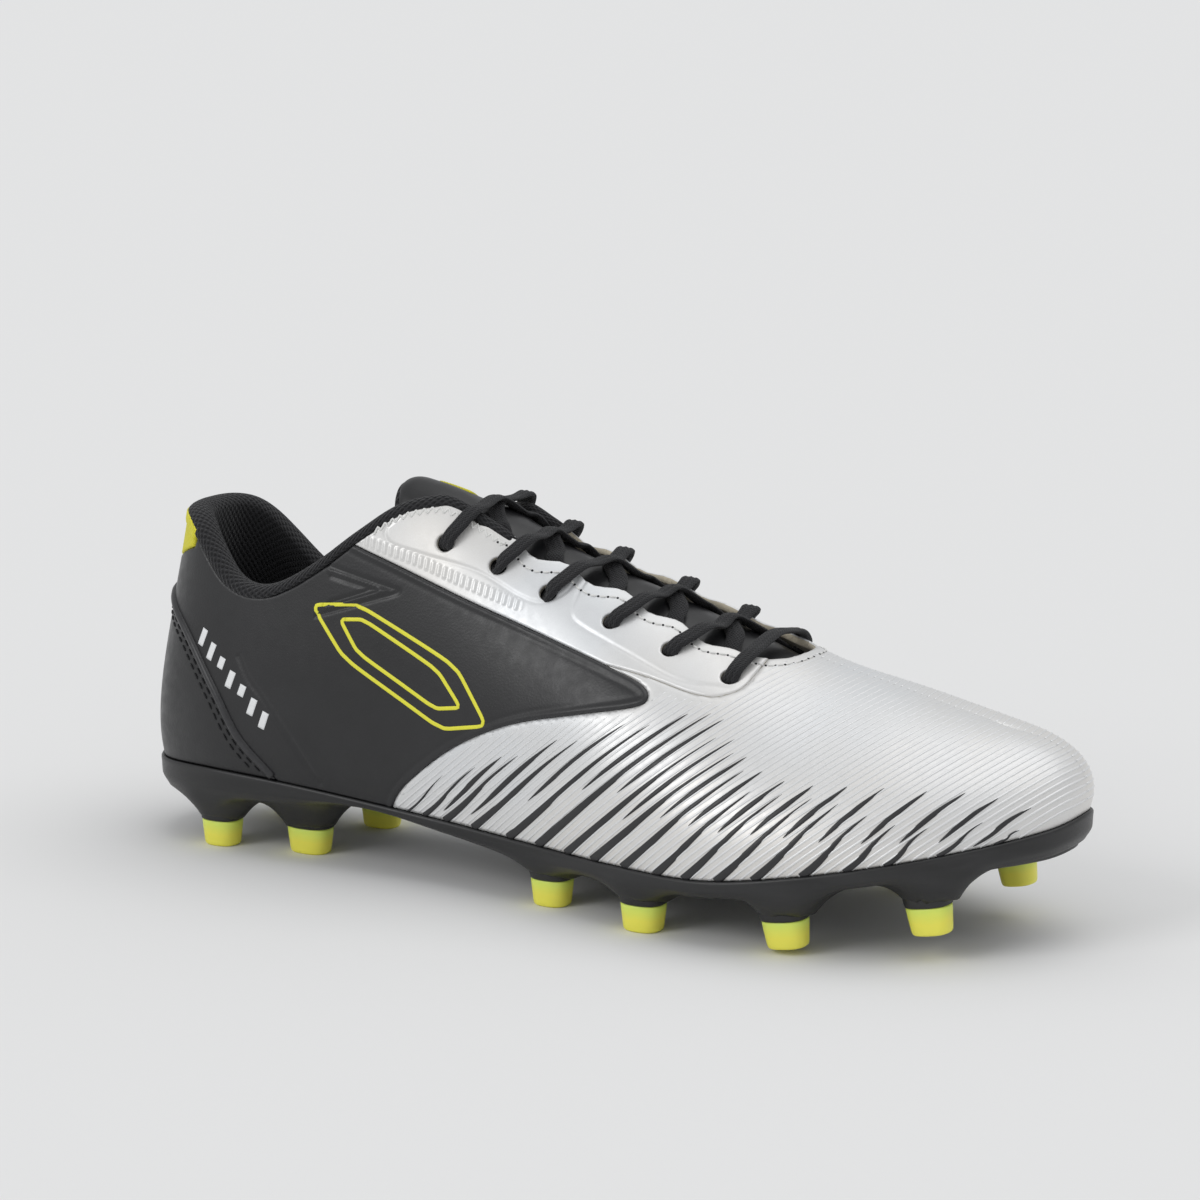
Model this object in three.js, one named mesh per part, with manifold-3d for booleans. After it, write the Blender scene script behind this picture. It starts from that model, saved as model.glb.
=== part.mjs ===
// Football boot (soccer cleat), right foot, as an assembly of separate pieces.
// Millimetres. The part is built from the heel forwards (+X toe), lateral side -Y, medial side +Y,
// +Z up with the flat stud faces on z = 0, and the whole group is then shifted to its middle.
import * as THREE from "three";
import { mergeVertices } from "three/addons/utils/BufferGeometryUtils.js";
import Module from "manifold-3d";

const wasm = await Module();
wasm.setup();

// ---- driving sizes ----
const MIDDLE_X = 142.45; // heel-to-middle distance, so that the part is centred on the frame
const MIDDLE_Y = -1.8;
const GAP = 0.3; // clearance kept between touching pieces
const SKIN = 1.8; // thickness of the outer panels
const LINING = 1.0;
const COUNTER = 1.2; // heel counter thickness
const PUFF = 0.8; // toe puff thickness
const BINDING = 1.0; // knit that wraps the collar rim
const BINDING_DROP = 3.2; // how far the knit comes down outside
const BOARD = 1.2;
const SOCKLINER = 3;
const SOCKLINER_INSET = 5.4;
const TONGUE_DEPTH = 7; // tongue face below the outer surface
const TONGUE_FACE = 1.0;
const TONGUE_FOAM = 3.2;
const TONGUE_LINING = 0.9;
const LACE_RADIUS = 1.5;
const EYELET_RADIUS = 2.5;
const TIP_HEIGHT = 7.3; // moulded stud tip
const SLIVER = 0.02; // cut edges shorter than this are merged away
const AGLET_SHARE = 0.028; // part of the cord length inside each end tag

// ---- shape of the shoe, heel to toe ----
// Each row is one cross-section: feather edge x, lateral y and z, medial y and z;
// top line x, lateral y, medial y, z; lower wall handle out and up; upper wall handle out and down.
const SECTIONS = [
  [6.8, 0, 22, 0, 22, 17.6, 0, 0, 104, 4.4, 20, 3, 30],
  [9.5, -12, 22.3, 12, 22.3, 20.1, -10.5, 10.5, 104, 4.4, 20, 3, 30],
  [18, -22.5, 23, 22.5, 23, 29.6, -18.5, 18.5, 102, 4.8, 20, 3, 30],
  [36, -29, 24, 28.5, 24, 47, -22.5, 22.5, 100, 6, 20, 3, 28],
  [60, -30, 23.2, 28, 23.5, 66, -22, 22, 101, 6, 20, 4, 26],
  [85, -29.5, 21.2, 25.5, 22.5, 86, -19, 19, 105, 5, 22, 6, 22],
  [112, -29.5, 18.8, 25, 20.5, 107, -10, 11, 104.5, 5, 24, 13, 11],
  [140, -33.5, 17.3, 29.5, 18.2, 131, -1, 5, 95, 6, 22, 20, 2.6],
  [168, -40.5, 17.2, 36.5, 17.5, 157, 3.5, 3.5, 86, 7, 19, 24.5, 2],
  [195, -45, 18, 41, 18.2, 182, 4.5, 4.5, 76, 7, 16, 25, 1.4],
  [220, -43, 21.8, 40.5, 21.8, 205, 4.5, 4.5, 67.5, 6.5, 15, 22, 2],
  [243, -35.5, 26.2, 35, 26.2, 226, 4.5, 4.5, 62.5, 5.5, 14, 21, 1.5],
  [262, -23.5, 30.3, 26.5, 30.3, 243, 4.5, 4.5, 58.5, 4.5, 13, 19, 1.5],
  [274.5, -9.5, 33.2, 16.5, 33.2, 253, 4.5, 4.5, 56.2, 4, 12, 18, 1.5],
  [278, 4.5, 34.6, 4.5, 34.6, 257, 4.5, 4.5, 55.2, 4, 12, 17, 2],
];
const LAST = SECTIONS.length - 1;
const RIDGE_FROM = 8; // from this section on both sides meet in one ridge line
const STEPS_ALONG = 32;
const HEIGHTS = [0, 0.17, 0.34, 0.5, 0.64, 0.76, 0.88, 1]; // wall stations, closer near the crown
const LATERAL = -1;
const MEDIAL = 1;

// Sole band height and the sag of its underside, at the same sections.
const BAND = [8.5, 9, 9.5, 9.5, 7, 3, 4.6, 6.4, 5.6, 5.4, 5.6, 5.8, 7, 8.4, 9];
const SAG = [0, 0.2, 0.6, 1, 1.6, 2.4, 1.8, 1.2, 0.8, 0.6, 0.5, 0.4, 0.3, 0.1, 0];

// Collar rim, throat edge and panel seams. Side views are x, z; plan views are x, y.
const COLLAR_LATERAL = [
  [4, 94], [15, 93.3], [22, 92], [27.5, 89], [33, 84.3], [40, 78.5], [47, 76], [54, 76.3], [60, 78.8],
  [65, 81.8], [71, 86], [77, 90.8], [83, 95.2], [89, 99.6], [95, 102.3], [102, 103.6], [108, 106], [112, 116],
];
const COLLAR_MEDIAL = [
  [4, 94], [15, 93.3], [22, 91.6], [27.5, 87.4], [33, 81], [40, 73], [47, 69.5], [56, 68.8], [65, 71.6],
  [73.5, 78], [82, 86], [88.5, 92], [95, 95.2], [102, 96.4], [108, 96.9], [113, 98.2], [118, 104], [121, 116],
];
const THROAT = [
  [96, -14.5], [107, -12.5], [130, -10.3], [157, -9], [180, -10.2], [192, -9.5], [199, -4], [201, 4.5],
  [199, 13], [192, 18.5], [180, 19.2], [157, 17], [130, 14.8], [107, 14], [96, 15],
];
const LINING_THROAT = [
  [101, -22], [130, -22], [165, -20.5], [190, -20], [203, -12], [207, 4.5],
  [203, 21], [190, 29], [165, 28], [130, 25], [101, 23],
];
const HEEL_SEAM = [[2, 72.5], [14, 68], [26.5, 60], [39, 46.5], [47.5, 34], [57, 24.5], [63, 16]];
const QUARTER_FRONT = [
  [71, 93], [80.3, 89.3], [91.5, 85.5], [114.4, 77.7], [137.6, 70.8], [158.6, 65], [168.5, 61.8], [171.4, 58.8],
  [168, 56.6], [153.5, 53.4], [132.2, 47.9], [115, 39.7], [100.8, 28.7], [94.8, 20.8], [93.5, 12],
];
const EYESTAY_EDGE = [[118, 67], [141, 67], [165, 64.4], [183, 60.8], [191, 61], [195, 65], [196, 80]];
const COUNTER_TOP = [[-2, 54], [20, 54], [45, 50], [60, 40], [68, 24], [70, 14]];
const PUFF_BACK = [[228, 10], [233, 30], [236, 50], [233, 80]];
const TAB_HALF_WIDTH = 19.5;
const TAB_BOTTOM = 77;

const TONGUE_OUTLINE = [
  [86, -11], [97, -11], [106, -12.3], [130, -12.5], [160, -11.5], [190, -12], [212, -11], [214, 4.5],
  [212, 20], [190, 21], [160, 19], [130, 15], [106, 12.2], [97, 11], [86, 11], [84.5, 0.5],
];

const TONGUE_UNDERSIDE = [[76, 92], [100, 84], [130, 73], [160, 62], [190, 51], [220, 42]];

// Eyelets from the vamp up to the ankle: section and height along the wall.
const EYELETS = [[9.2, 0.7], [8.58, 0.71], [7.92, 0.71], [7.2, 0.71], [6.58, 0.735], [5.92, 0.77]];
// Free end of the cord inside the shoe: section, height along the wall, depth below the outer surface.
const TAIL = [
  [5.99, 0.725, 5.6], [6.05, 0.68, 6.2], [6.1, 0.64, 6.4], [6.25, 0.57, 6.6], [6.45, 0.49, 6.3],
  [6.8, 0.43, 5.9], [7.3, 0.4, 5.5], [7.9, 0.4, 5.5], [8.5, 0.41, 5.5], [9, 0.42, 5.5],
];

// Studs: section, share of the way from the lateral to the medial edge, height of the tip face,
// half length and half width at the top of the tip.
const STUDS = [
  ["heel_lateral_rear", 2.88, 0.15, 0, 5.6, 4.8],
  ["heel_lateral_front", 3.98, 0.25, 0, 6.6, 4.6],
  ["heel_medial_rear", 2.95, 0.79, 0, 5.6, 4.8],
  ["heel_medial_front", 4.1, 0.81, 0, 6, 4.6],
  ["fore_lateral_1", 7.1, 0.1, 0, 5.6, 4.8],
  ["fore_lateral_2", 8.24, 0.07, 0, 5.9, 5],
  ["fore_lateral_3", 9.84, 0.085, 1.5, 6, 5],
  ["fore_lateral_4", 11.37, 0.1, 7, 5.9, 4.8],
  ["fore_medial_1", 7.21, 0.88, 0, 5.6, 4.8],
  ["fore_medial_2", 8.44, 0.9, 0, 5.9, 5],
  ["fore_medial_3", 10, 0.88, 1.8, 5.8, 5],
  ["fore_medial_4", 11.57, 0.845, 8.6, 5.2, 4.6],
];

// ---- curves and the outer wall ----
const vector = (x, y, z) => new THREE.Vector3(x, y, z);
const smooth = (x) => {
  const c = THREE.MathUtils.clamp(x, 0, 1);
  return c * c * (3 - 2 * c);
};

// Columns of a section seen from one side.
function sectionOf(side, index) {
  const mirrored = index < 0 || index > LAST;
  const row = SECTIONS[index < 0 ? -index : index > LAST ? 2 * LAST - index : index];
  const lateral = (side === LATERAL) !== mirrored;
  const [x, ly, lz, my, mz, tx, tl, tm, tz, out, rise, crownOut, crownDrop] = row;
  const topX = index > LAST ? 2 * SECTIONS[LAST][5] - tx : tx;
  const topZ = index > LAST ? 2 * SECTIONS[LAST][8] - tz : tz;
  return [
    x, lateral ? ly : my, lateral ? lz : mz,
    topX, lateral ? tl : tm, topZ,
    out, rise, crownOut, crownDrop,
  ];
}

// Catmull-Rom spline through rows of numbers fetched by index.
function splineRow(rowAt, s, last) {
  const i = THREE.MathUtils.clamp(Math.floor(s), 0, last - 1);
  const f = s - i;
  const [a, b, c, d] = [rowAt(i - 1), rowAt(i), rowAt(i + 1), rowAt(i + 2)];
  return b.map((value, k) => {
    const linear = c[k] - a[k];
    const square = 2 * a[k] - 5 * b[k] + 4 * c[k] - d[k];
    const cube = 3 * b[k] - a[k] - 3 * c[k] + d[k];
    return 0.5 * (2 * value + linear * f + square * f * f + cube * f * f * f);
  });
}

// A plain list of heights read along the sections.
function along(list, s) {
  const at = (i) => [list[THREE.MathUtils.clamp(i, 0, LAST)]];
  return splineRow(at, s, LAST)[0];
}

// Feather edge point with its outward direction in plan.
function feather(side, s) {
  const at = (index) => sectionOf(side, index);
  const row = splineRow(at, s, LAST);
  const ahead = splineRow(at, Math.min(s + 0.01, LAST), LAST);
  const behind = splineRow(at, Math.max(s - 0.01, 0), LAST);
  const out = vector(ahead[1] - behind[1], behind[0] - ahead[0], 0).multiplyScalar(-side).normalize();
  if (s <= 0) out.set(-1, 0, 0);
  if (s >= LAST) out.set(1, 0, 0);
  return { point: vector(row[0], row[1], row[2]), out, row };
}

// Outer surface: side, section s from heel (0) to toe (LAST), height t from feather (0) to top line (1).
function wallPoint(side, s, t) {
  if (s < 0) return wallPoint(-side, -s, t);
  if (s > LAST) return wallPoint(-side, 2 * LAST - s, t);
  const { point, out, row } = feather(side, s);
  const top = vector(row[3], row[4], row[5]);
  const lower = point.clone().addScaledVector(out, row[6]).add(vector(0, 0, row[7]));
  const upper = top.clone().addScaledVector(out, row[8]).add(vector(0, 0, -row[9]));
  const q = 1 - t;
  return point.multiplyScalar(q * q * q)
    .addScaledVector(lower, 3 * q * q * t)
    .addScaledVector(upper, 3 * q * t * t)
    .addScaledVector(top, t * t * t);
}

function oneSideNormal(side, s, t) {
  const step = 0.01;
  const forwards = wallPoint(side, s + step, t).sub(wallPoint(side, s - step, t));
  if (s < step) forwards.set(0, side, 0);
  if (s > LAST - step) forwards.set(0, -side, 0);
  const high = Math.min(t + step, 1);
  const low = Math.max(t - step, 0);
  const upwards = wallPoint(side, s, high).sub(wallPoint(side, s, low));
  return forwards.cross(upwards).multiplyScalar(-side).normalize();
}

function wallNormal(side, s, t) {
  if (t < 1) return oneSideNormal(side, s, t);
  const both = oneSideNormal(LATERAL, s, 1).add(oneSideNormal(MEDIAL, s, 1)).normalize();
  if (s >= RIDGE_FROM) return both;
  return oneSideNormal(side, s, 1).lerp(both, smooth((s - RIDGE_FROM + 3) / 2)).normalize();
}

const inset = (side, s, t, depth) =>
  wallPoint(side, s, t).addScaledVector(wallNormal(side, s, t), -depth);

// Point on the roof that joins both top lines: share 0 at the lateral line, 1 at the medial line.
function roofPoint(s, share, depth) {
  const lateral = inset(LATERAL, s, 1, depth);
  const medial = inset(MEDIAL, s, 1, depth);
  const arch = 0.1 * lateral.distanceTo(medial) * 4 * share * (1 - share);
  return lateral.lerp(medial, share).add(vector(0, 0, arch));
}

// Sections spread so that they lie closer together at the heel and the toe.
const SPREAD = Array.from({ length: STEPS_ALONG + 1 }, (_, i) => {
  const f = i / STEPS_ALONG;
  return LAST * (f - 0.1 * Math.sin(2 * Math.PI * f));
});

// ---- solids ----
function solidOf(geometry) {
  const bare = new THREE.BufferGeometry().setAttribute("position", geometry.getAttribute("position"));
  if (geometry.index) bare.setIndex(geometry.index);
  const merged = mergeVertices(bare, 1e-4);
  const index = merged.index.array;
  const triVerts = [];
  for (let i = 0; i < index.length; i += 3) {
    const [a, b, c] = [index[i], index[i + 1], index[i + 2]];
    if (a !== b && b !== c && c !== a) triVerts.push(a, b, c);
  }
  const vertProperties = merged.getAttribute("position").array;
  const make = (triangles) =>
    new wasm.Manifold(
      new wasm.Mesh({ numProp: 3, vertProperties, triVerts: new Uint32Array(triangles) }),
    );
  const made = make(triVerts);
  if (made.volume() > 0) return made;
  return make(triVerts.reverse());
}

// Closed solid through rings of points; the first and last ring are folded flat or closed by a cap.
function loft(rings, capped) {
  const positions = [];
  const face = (a, b, c) => positions.push(...a.toArray(), ...b.toArray(), ...c.toArray());
  const size = rings[0].length;
  for (let i = 0; i + 1 < rings.length; i++) {
    for (let j = 0; j < size; j++) {
      const k = (j + 1) % size;
      face(rings[i][j], rings[i + 1][j], rings[i + 1][k]);
      face(rings[i][j], rings[i + 1][k], rings[i][k]);
    }
  }
  if (capped) {
    const [first, final] = [rings[0], rings[rings.length - 1]];
    for (let j = 1; j + 1 < size; j++) {
      face(first[0], first[j], first[j + 1]);
      face(final[0], final[j + 1], final[j]);
    }
  }
  const geometry = new THREE.BufferGeometry();
  geometry.setAttribute("position", new THREE.Float32BufferAttribute(positions, 3));
  return solidOf(geometry);
}

// Everything inside the wall at a depth (a number or a function of section and height).
// The foot of the body can be dropped past the feather line, and the whole of it sunk.
function bodyAt(depth, drop = 0, sink = 0) {
  const depthAt = typeof depth === "function" ? depth : () => depth;
  const rings = SPREAD.map((s) => {
    const up = HEIGHTS.map((t) => inset(LATERAL, s, t, depthAt(s, t)));
    const down = HEIGHTS.map((t) => inset(MEDIAL, s, t, depthAt(s, t))).reverse();
    const roof = [0.25, 0.5, 0.75].map((share) => roofPoint(s, share, depthAt(s, 1)));
    const under = vector(0, 0, -drop);
    const base = drop ? [down[down.length - 1].clone().add(under), up[0].clone().add(under)] : [];
    return [...up, ...roof, ...down, ...base].map((p) => p.setZ(p.z - sink));
  });
  return loft(rings, false);
}

const shell = (outer, inner) => bodyAt(outer).subtract(bodyAt(inner, 8));
// The same shell carried down past the feather line, to cut with.
const cuttingShell = (outer, inner) => bodyAt(outer, 6).subtract(bodyAt(inner, 12));

function curve(points, pieces) {
  const list = points.map(([x, y]) => new THREE.Vector2(x, y));
  return new THREE.SplineCurve(list).getPoints(pieces ?? 3 * (points.length - 1));
}

// The same curve moved sideways, to the left of its direction.
function shifted(points, distance) {
  return points.map((p, i) => {
    const a = points[Math.max(i - 1, 0)];
    const b = points[Math.min(i + 1, points.length - 1)];
    const d = new THREE.Vector2().subVectors(b, a).normalize();
    return new THREE.Vector2(p.x - d.y * distance, p.y + d.x * distance);
  });
}

function prism(points, depth) {
  return new THREE.ExtrudeGeometry(new THREE.Shape(points), { depth, bevelEnabled: false, steps: 1 });
}

// Solid across the whole shoe from a side-view outline.
function sideCut(points, from = -70, to = 70) {
  return solidOf(prism(points, to - from).rotateX(Math.PI / 2).translate(0, to, 0));
}

function planCut(points, from, to) {
  return solidOf(prism(points, to - from).translate(0, 0, from));
}

function box(x0, x1, y0, y1, z0, z1) {
  const block = new THREE.BoxGeometry(x1 - x0, y1 - y0, z1 - z0);
  return solidOf(block.translate((x0 + x1) / 2, (y0 + y1) / 2, (z0 + z1) / 2));
}

const corner = (x, y) => new THREE.Vector2(x, y);

// Side-view regions bounded by one seam each, grown by `grow` past the seam.
const aboveLine = (line, drop, from, to) =>
  sideCut([...shifted(curve(line), -drop), corner(line.at(-1)[0], 160), corner(-40, 160), corner(-40, 94)], from, to);
const aboveCollar = (drop) =>
  aboveLine(COLLAR_LATERAL, drop, -70, 0.01).add(aboveLine(COLLAR_MEDIAL, drop, 0, 70));
const heelRegion = (grow) =>
  sideCut([...shifted(curve(HEEL_SEAM), grow), corner(50, 0), corner(-40, 0), corner(-40, 72)]);
const quarterRegion = (grow) =>
  sideCut([...shifted(curve(QUARTER_FRONT), grow), corner(80, 0), corner(-40, 0), corner(-40, 130)]);
const eyestayRegion = (grow) =>
  sideCut([...shifted(curve(EYESTAY_EDGE), -grow), corner(196, 150), corner(60, 150), corner(60, 67)]);
const counterRegion = () => sideCut([...curve(COUNTER_TOP), corner(-40, 0), corner(-40, 54)]);
const puffRegion = () => sideCut([...curve(PUFF_BACK), corner(320, 80), corner(320, 10)]);

// Depth of the lining's outer face: deeper over the toe puff, the heel counter and the collar pad.
function liningDepth(s, t) {
  const toe = smooth((s - 9.3) / 0.9);
  const heel = 1 - smooth((s - 5) / 2);
  const pad = heel * smooth((t - 0.38) / 0.22);
  return SKIN + GAP + (PUFF + GAP) * toe + (COUNTER + GAP) * heel + 2.4 * pad;
}
const liningInner = (s, t) => liningDepth(s, t) + LINING;

// Flat layer that follows the feather line: inset from it, between two heights above it.
function layer(insetBy, low, high) {
  const rings = SPREAD.map((s) => {
    const at = (side, height) => {
      const { point, out } = feather(side, s);
      return point.addScaledVector(out, -insetBy).add(vector(0, 0, height));
    };
    return [at(LATERAL, low), at(LATERAL, high), at(MEDIAL, high), at(MEDIAL, low)];
  });
  return loft(rings, false);
}

// ---- sole ----
function soleRing(s) {
  const band = along(BAND, s);
  const sag = along(SAG, s);
  const edge = (side, out, down) => {
    const f = feather(side, s);
    return f.point.addScaledVector(f.out, out).add(vector(0, 0, -down));
  };
  const profile = [
    [0.1, GAP],
    [0.9, 1.1],
    [0.7, 0.6 * band],
    [-1, band],
    [-6, band + 0.6],
  ];
  const lateral = profile.map(([out, down]) => edge(LATERAL, out, down));
  const medial = profile.map(([out, down]) => edge(MEDIAL, out, down)).reverse();
  const under = [0.25, 0.5, 0.75].map((share) =>
    lateral[4].clone().lerp(medial[0], share).add(vector(0, 0, -4 * sag * share * (1 - share))),
  );
  return [...lateral, ...under, ...medial];
}

function studRing(centre, axisTilt, halfLength, halfWidth, height, count = 14) {
  const ring = [];
  for (let i = 0; i < count; i++) {
    const a = (2 * Math.PI * i) / count;
    const flat = vector(halfLength * Math.cos(a), halfWidth * Math.sin(a), height);
    ring.push(flat.applyAxisAngle(vector(0, 1, 0), axisTilt).add(centre));
  }
  return ring;
}

// Where a stud stands: centre of its tip face, lean towards the toe and length up to the sole.
function studPlace([, s, share, tipZ]) {
  const at = (section) => feather(LATERAL, section).point.lerp(feather(MEDIAL, section).point, share);
  const middle = at(s);
  const slope = (at(s + 0.2).z - at(s - 0.2).z) / (at(s + 0.2).x - at(s - 0.2).x);
  const lean = tipZ > 0 ? -0.8 * Math.atan(slope) : 0;
  const soleZ = middle.z - along(BAND, s) - 4 * along(SAG, s) * share * (1 - share);
  return { centre: vector(middle.x, middle.y, tipZ), lean, reach: soleZ - tipZ };
}

function studTip(stud) {
  const [, , , , halfLength, halfWidth] = stud;
  const { centre, lean } = studPlace(stud);
  const profile = [
    [0, 0.78],
    [0.35, 0.86],
    [1.2, 0.91],
    [TIP_HEIGHT, 1],
  ];
  const rings = profile.map(([height, k]) => studRing(centre, lean, halfLength * k, halfWidth * k, height));
  return loft(rings, true);
}

// Black foot of a stud: a short column, spread into the sole by a fillet that is longer fore and aft.
function studBase(stud) {
  const [, , , , halfLength, halfWidth] = stud;
  const { centre, lean, reach } = studPlace(stud);
  const rings = (profile) =>
    profile.map(([height, along1, across]) =>
      studRing(centre, lean, halfLength + along1, halfWidth + across, height),
    );
  const column = [
    [TIP_HEIGHT + GAP, 0, 0],
    [reach + 0.5, 0.8, 0.5],
  ];
  const fillet = [
    [Math.min(TIP_HEIGHT + 1, reach - 3), -0.5, -0.5],
    [reach - 2.4, 1.2, 0.8],
    [reach - 0.9, 3.6, 2.2],
    [reach + 0.3, 8, 4.5],
    [reach + 1, 8, 4.5],
  ];
  const outline = layer(-0.6, -30, 2);
  return loft(rings(column), true).add(loft(rings(fillet), true).intersect(outline));
}

function outsolePlate() {
  const plate = loft(SPREAD.map(soleRing), false);
  const pocket = layer(1.5, -(BOARD + 3 * GAP), 4);
  const studs = STUDS.map(studBase);
  return studs.reduce((whole, stud) => whole.add(stud), plate).subtract(pocket);
}

// ---- upper ----
function lowerThroat() {
  return planCut(curve(LINING_THROAT, 44), 45, 130).subtract(aboveCollar(BINDING_DROP + 0.4));
}

function makeSkin() {
  const eyelets = EYELETS.flatMap((place) => [LATERAL, MEDIAL].map((side) => eyeletDrill(side, place)));
  const whole = shell(0, SKIN)
    .subtract(aboveCollar(BINDING_DROP + GAP))
    .subtract(planCut(curve(THROAT, 45), 40, 140));
  return eyelets.reduce((skin, drill) => skin.subtract(drill), whole);
}

function eyeletDrill(side, [s, t]) {
  const normal = wallNormal(side, s, t);
  const pin = new THREE.CylinderGeometry(EYELET_RADIUS, EYELET_RADIUS, 8, 12);
  pin.applyQuaternion(new THREE.Quaternion().setFromUnitVectors(vector(0, 1, 0), normal));
  const centre = wallPoint(side, s, t);
  return solidOf(pin.translate(centre.x, centre.y, centre.z));
}

const onSide = (solid, side) =>
  solid.decompose().filter((body) => {
    const { min, max } = body.boundingBox();
    return Math.sign(min[1] + max[1]) === side;
  }).sort((a, b) => b.volume() - a.volume())[0];

const largest = (solid) => solid.decompose().sort((a, b) => b.volume() - a.volume())[0];

function quarters(skin) {
  const slit = box(-20, 40, -GAP / 2, GAP / 2, 30, 130);
  return skin
    .intersect(quarterRegion(GAP / -2))
    .subtract(heelRegion(GAP / 2))
    .subtract(box(-20, 34, -TAB_HALF_WIDTH, TAB_HALF_WIDTH, TAB_BOTTOM, 130))
    .subtract(slit);
}

function heelTab(skin) {
  const reach = TAB_HALF_WIDTH - GAP;
  return skin.intersect(box(-20, 33, -reach, reach, TAB_BOTTOM + GAP, 130));
}

const eyestays = (skin) =>
  skin.subtract(quarterRegion(GAP / 2)).intersect(eyestayRegion(GAP / -2));

const vamp = (skin) =>
  skin.subtract(quarterRegion(GAP / 2)).subtract(eyestayRegion(GAP / 2));

function heelPiping() {
  const seam = curve(HEEL_SEAM);
  const ribbon = [...shifted(seam, 1), ...shifted(seam, -1).reverse()];
  const footing = layer(-6, 0.4, 60);
  return shell(-1.1, -GAP).intersect(sideCut(ribbon)).intersect(footing);
}

// Knit lining: inner wall, a cap over the padded rim and a short skirt outside.
function linings() {
  const cavity = cuttingShell(BINDING, liningDepth).subtract(aboveCollar(1.2));
  const outside = cuttingShell(-2, BINDING + 0.1).subtract(aboveCollar(BINDING_DROP));
  return shell(0, liningInner)
    .subtract(layer(1.8 - GAP, -4, 0))
    .subtract(aboveCollar(0))
    .subtract(cavity)
    .subtract(outside)
    .subtract(lowerThroat())
    .subtract(planCut(curve(THROAT, 45), 40, 140));
}

function collarFoam() {
  const padInner = (s, t) => liningDepth(s, t) - GAP;
  return shell(SKIN + GAP, padInner)
    .subtract(aboveCollar(1.2 + GAP))
    .intersect(box(-20, 96, -60, 60, 54.5, 130));
}

const heelCounter = () => shell(SKIN + GAP, SKIN + GAP + COUNTER).intersect(counterRegion());

const toePuff = () => shell(SKIN + GAP, SKIN + GAP + PUFF).intersect(puffRegion());

// ---- tongue ----
// Layers of the tongue lie one below the other under the same crown, inside its outline.
function tongueLayer(sink, thickness, trim) {
  const outline = curve([...TONGUE_OUTLINE, TONGUE_OUTLINE[0]], 42).slice(0, -1);
  const middle = corner(150, 3);
  const trimmed = outline.map((p) => {
    const inwards = corner(Math.sign(middle.x - p.x) * trim, Math.sign(middle.y - p.y) * trim);
    return p.clone().add(inwards);
  });
  const below = sideCut([...curve(TONGUE_UNDERSIDE), corner(260, 0), corner(60, 0)]);
  const slab = bodyAt(TONGUE_DEPTH, 8, sink).subtract(bodyAt(TONGUE_DEPTH, 12, sink + thickness));
  return slab.intersect(planCut(trimmed, 30, 130)).subtract(below);
}

function tongueLabel() {
  const patch = planCut([corner(91, -5), corner(101, -5), corner(101, 6), corner(91, 6)], 80, 130);
  return shell(TONGUE_DEPTH - GAP - 0.6, TONGUE_DEPTH - GAP).intersect(patch);
}

// ---- lace ----
function lacePath() {
  const half = (startSide) => {
    const points = [];
    EYELETS.forEach(([s, t], row) => {
      const side = row % 2 ? -startSide : startSide;
      if (row) {
        const before = EYELETS[row - 1][0];
        const high = (row % 2 === 1) === (startSide === MEDIAL);
        const middle = (before + s) / 2;
        points.push(inset(-side, before - 0.1, t + 0.15, 4.3));
        points.push(inset(-side, (before + middle) / 2, t + 0.22, high ? 3 : 3.2));
        points.push(roofPoint(middle, 0.5, high ? 0 : 3.4));
        points.push(inset(side, s + 0.12, t + 0.16, -1.7));
      } else {
        points.push(inset(side, s, t + 0.16, -1.9));
      }
      points.push(inset(side, s, t + 0.09, -2.1));
      points.push(inset(side, s, t + 0.015, -1.75));
      points.push(inset(side, s, t - 0.01, 0.9));
      if (row === EYELETS.length - 1) {
        points.push(inset(side, s, t - 0.012, 3.4));
        return;
      }
      points.push(inset(side, s, t + 0.02, 3.5));
      points.push(inset(side, s, t + 0.09, 3.9));
    });
    const endSide = EYELETS.length % 2 ? startSide : -startSide;
    TAIL.forEach(([s, t, depth]) => points.push(inset(endSide, s, t, depth)));
    return points;
  };
  const bar = roofPoint(EYELETS[0][0], 0.5, -1.4);
  return new THREE.CatmullRomCurve3([...half(LATERAL).reverse(), bar, ...half(MEDIAL)], false, "centripetal");
}

// Round cord along a share of the path, with the section carried along without twist.
function cord(path, from, to, steps, radius) {
  const rings = [];
  let across = vector(0, 0, 1);
  for (let i = 0; i <= steps; i++) {
    const at = from + ((to - from) * i) / steps;
    const centre = path.getPoint(at);
    const tangent = path.getTangent(at);
    across = across.addScaledVector(tangent, -across.dot(tangent)).normalize();
    const other = vector().crossVectors(tangent, across);
    const ring = [];
    for (let k = 0; k < 8; k++) {
      const a = (Math.PI * (2 * k + 1)) / 8;
      const offset = across.clone().multiplyScalar(radius * Math.cos(a));
      ring.push(centre.clone().add(offset).addScaledVector(other, radius * Math.sin(a)));
    }
    rings.push(ring);
  }
  return loft(rings, true);
}

// ---- materials ----
const material = (name, color, roughness, metalness = 0) =>
  new THREE.MeshStandardMaterial({ name, color, roughness, metalness });
const blackRubber = () => material("black_tpu", 0x1c1c1e, 0.45);
const yellowTip = () => material("yellow_tpu", 0xe6de3c, 0.4);
const blackSkin = () => material("black_synthetic", 0x333335, 0.42);
const silverSkin = () => material("silver_synthetic", 0xd9dadb, 0.38, 0.15);
const blackKnit = () => material("black_knit", 0x202022, 0.9);
const blackFoam = () => material("black_foam", 0x2b2b2b, 0.95);
const creamTextile = () => material("cream_textile", 0xcfc6ad, 0.85);
const greyBoard = () => material("grey_board", 0x8a8a86, 0.85);
const whitePlastic = () => material("white_stiffener", 0xc9c9c4, 0.6);
const yellowTextile = () => material("yellow_textile", 0xdfd83a, 0.7);
const blackLace = () => material("black_lace", 0x18181a, 0.85);

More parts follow.
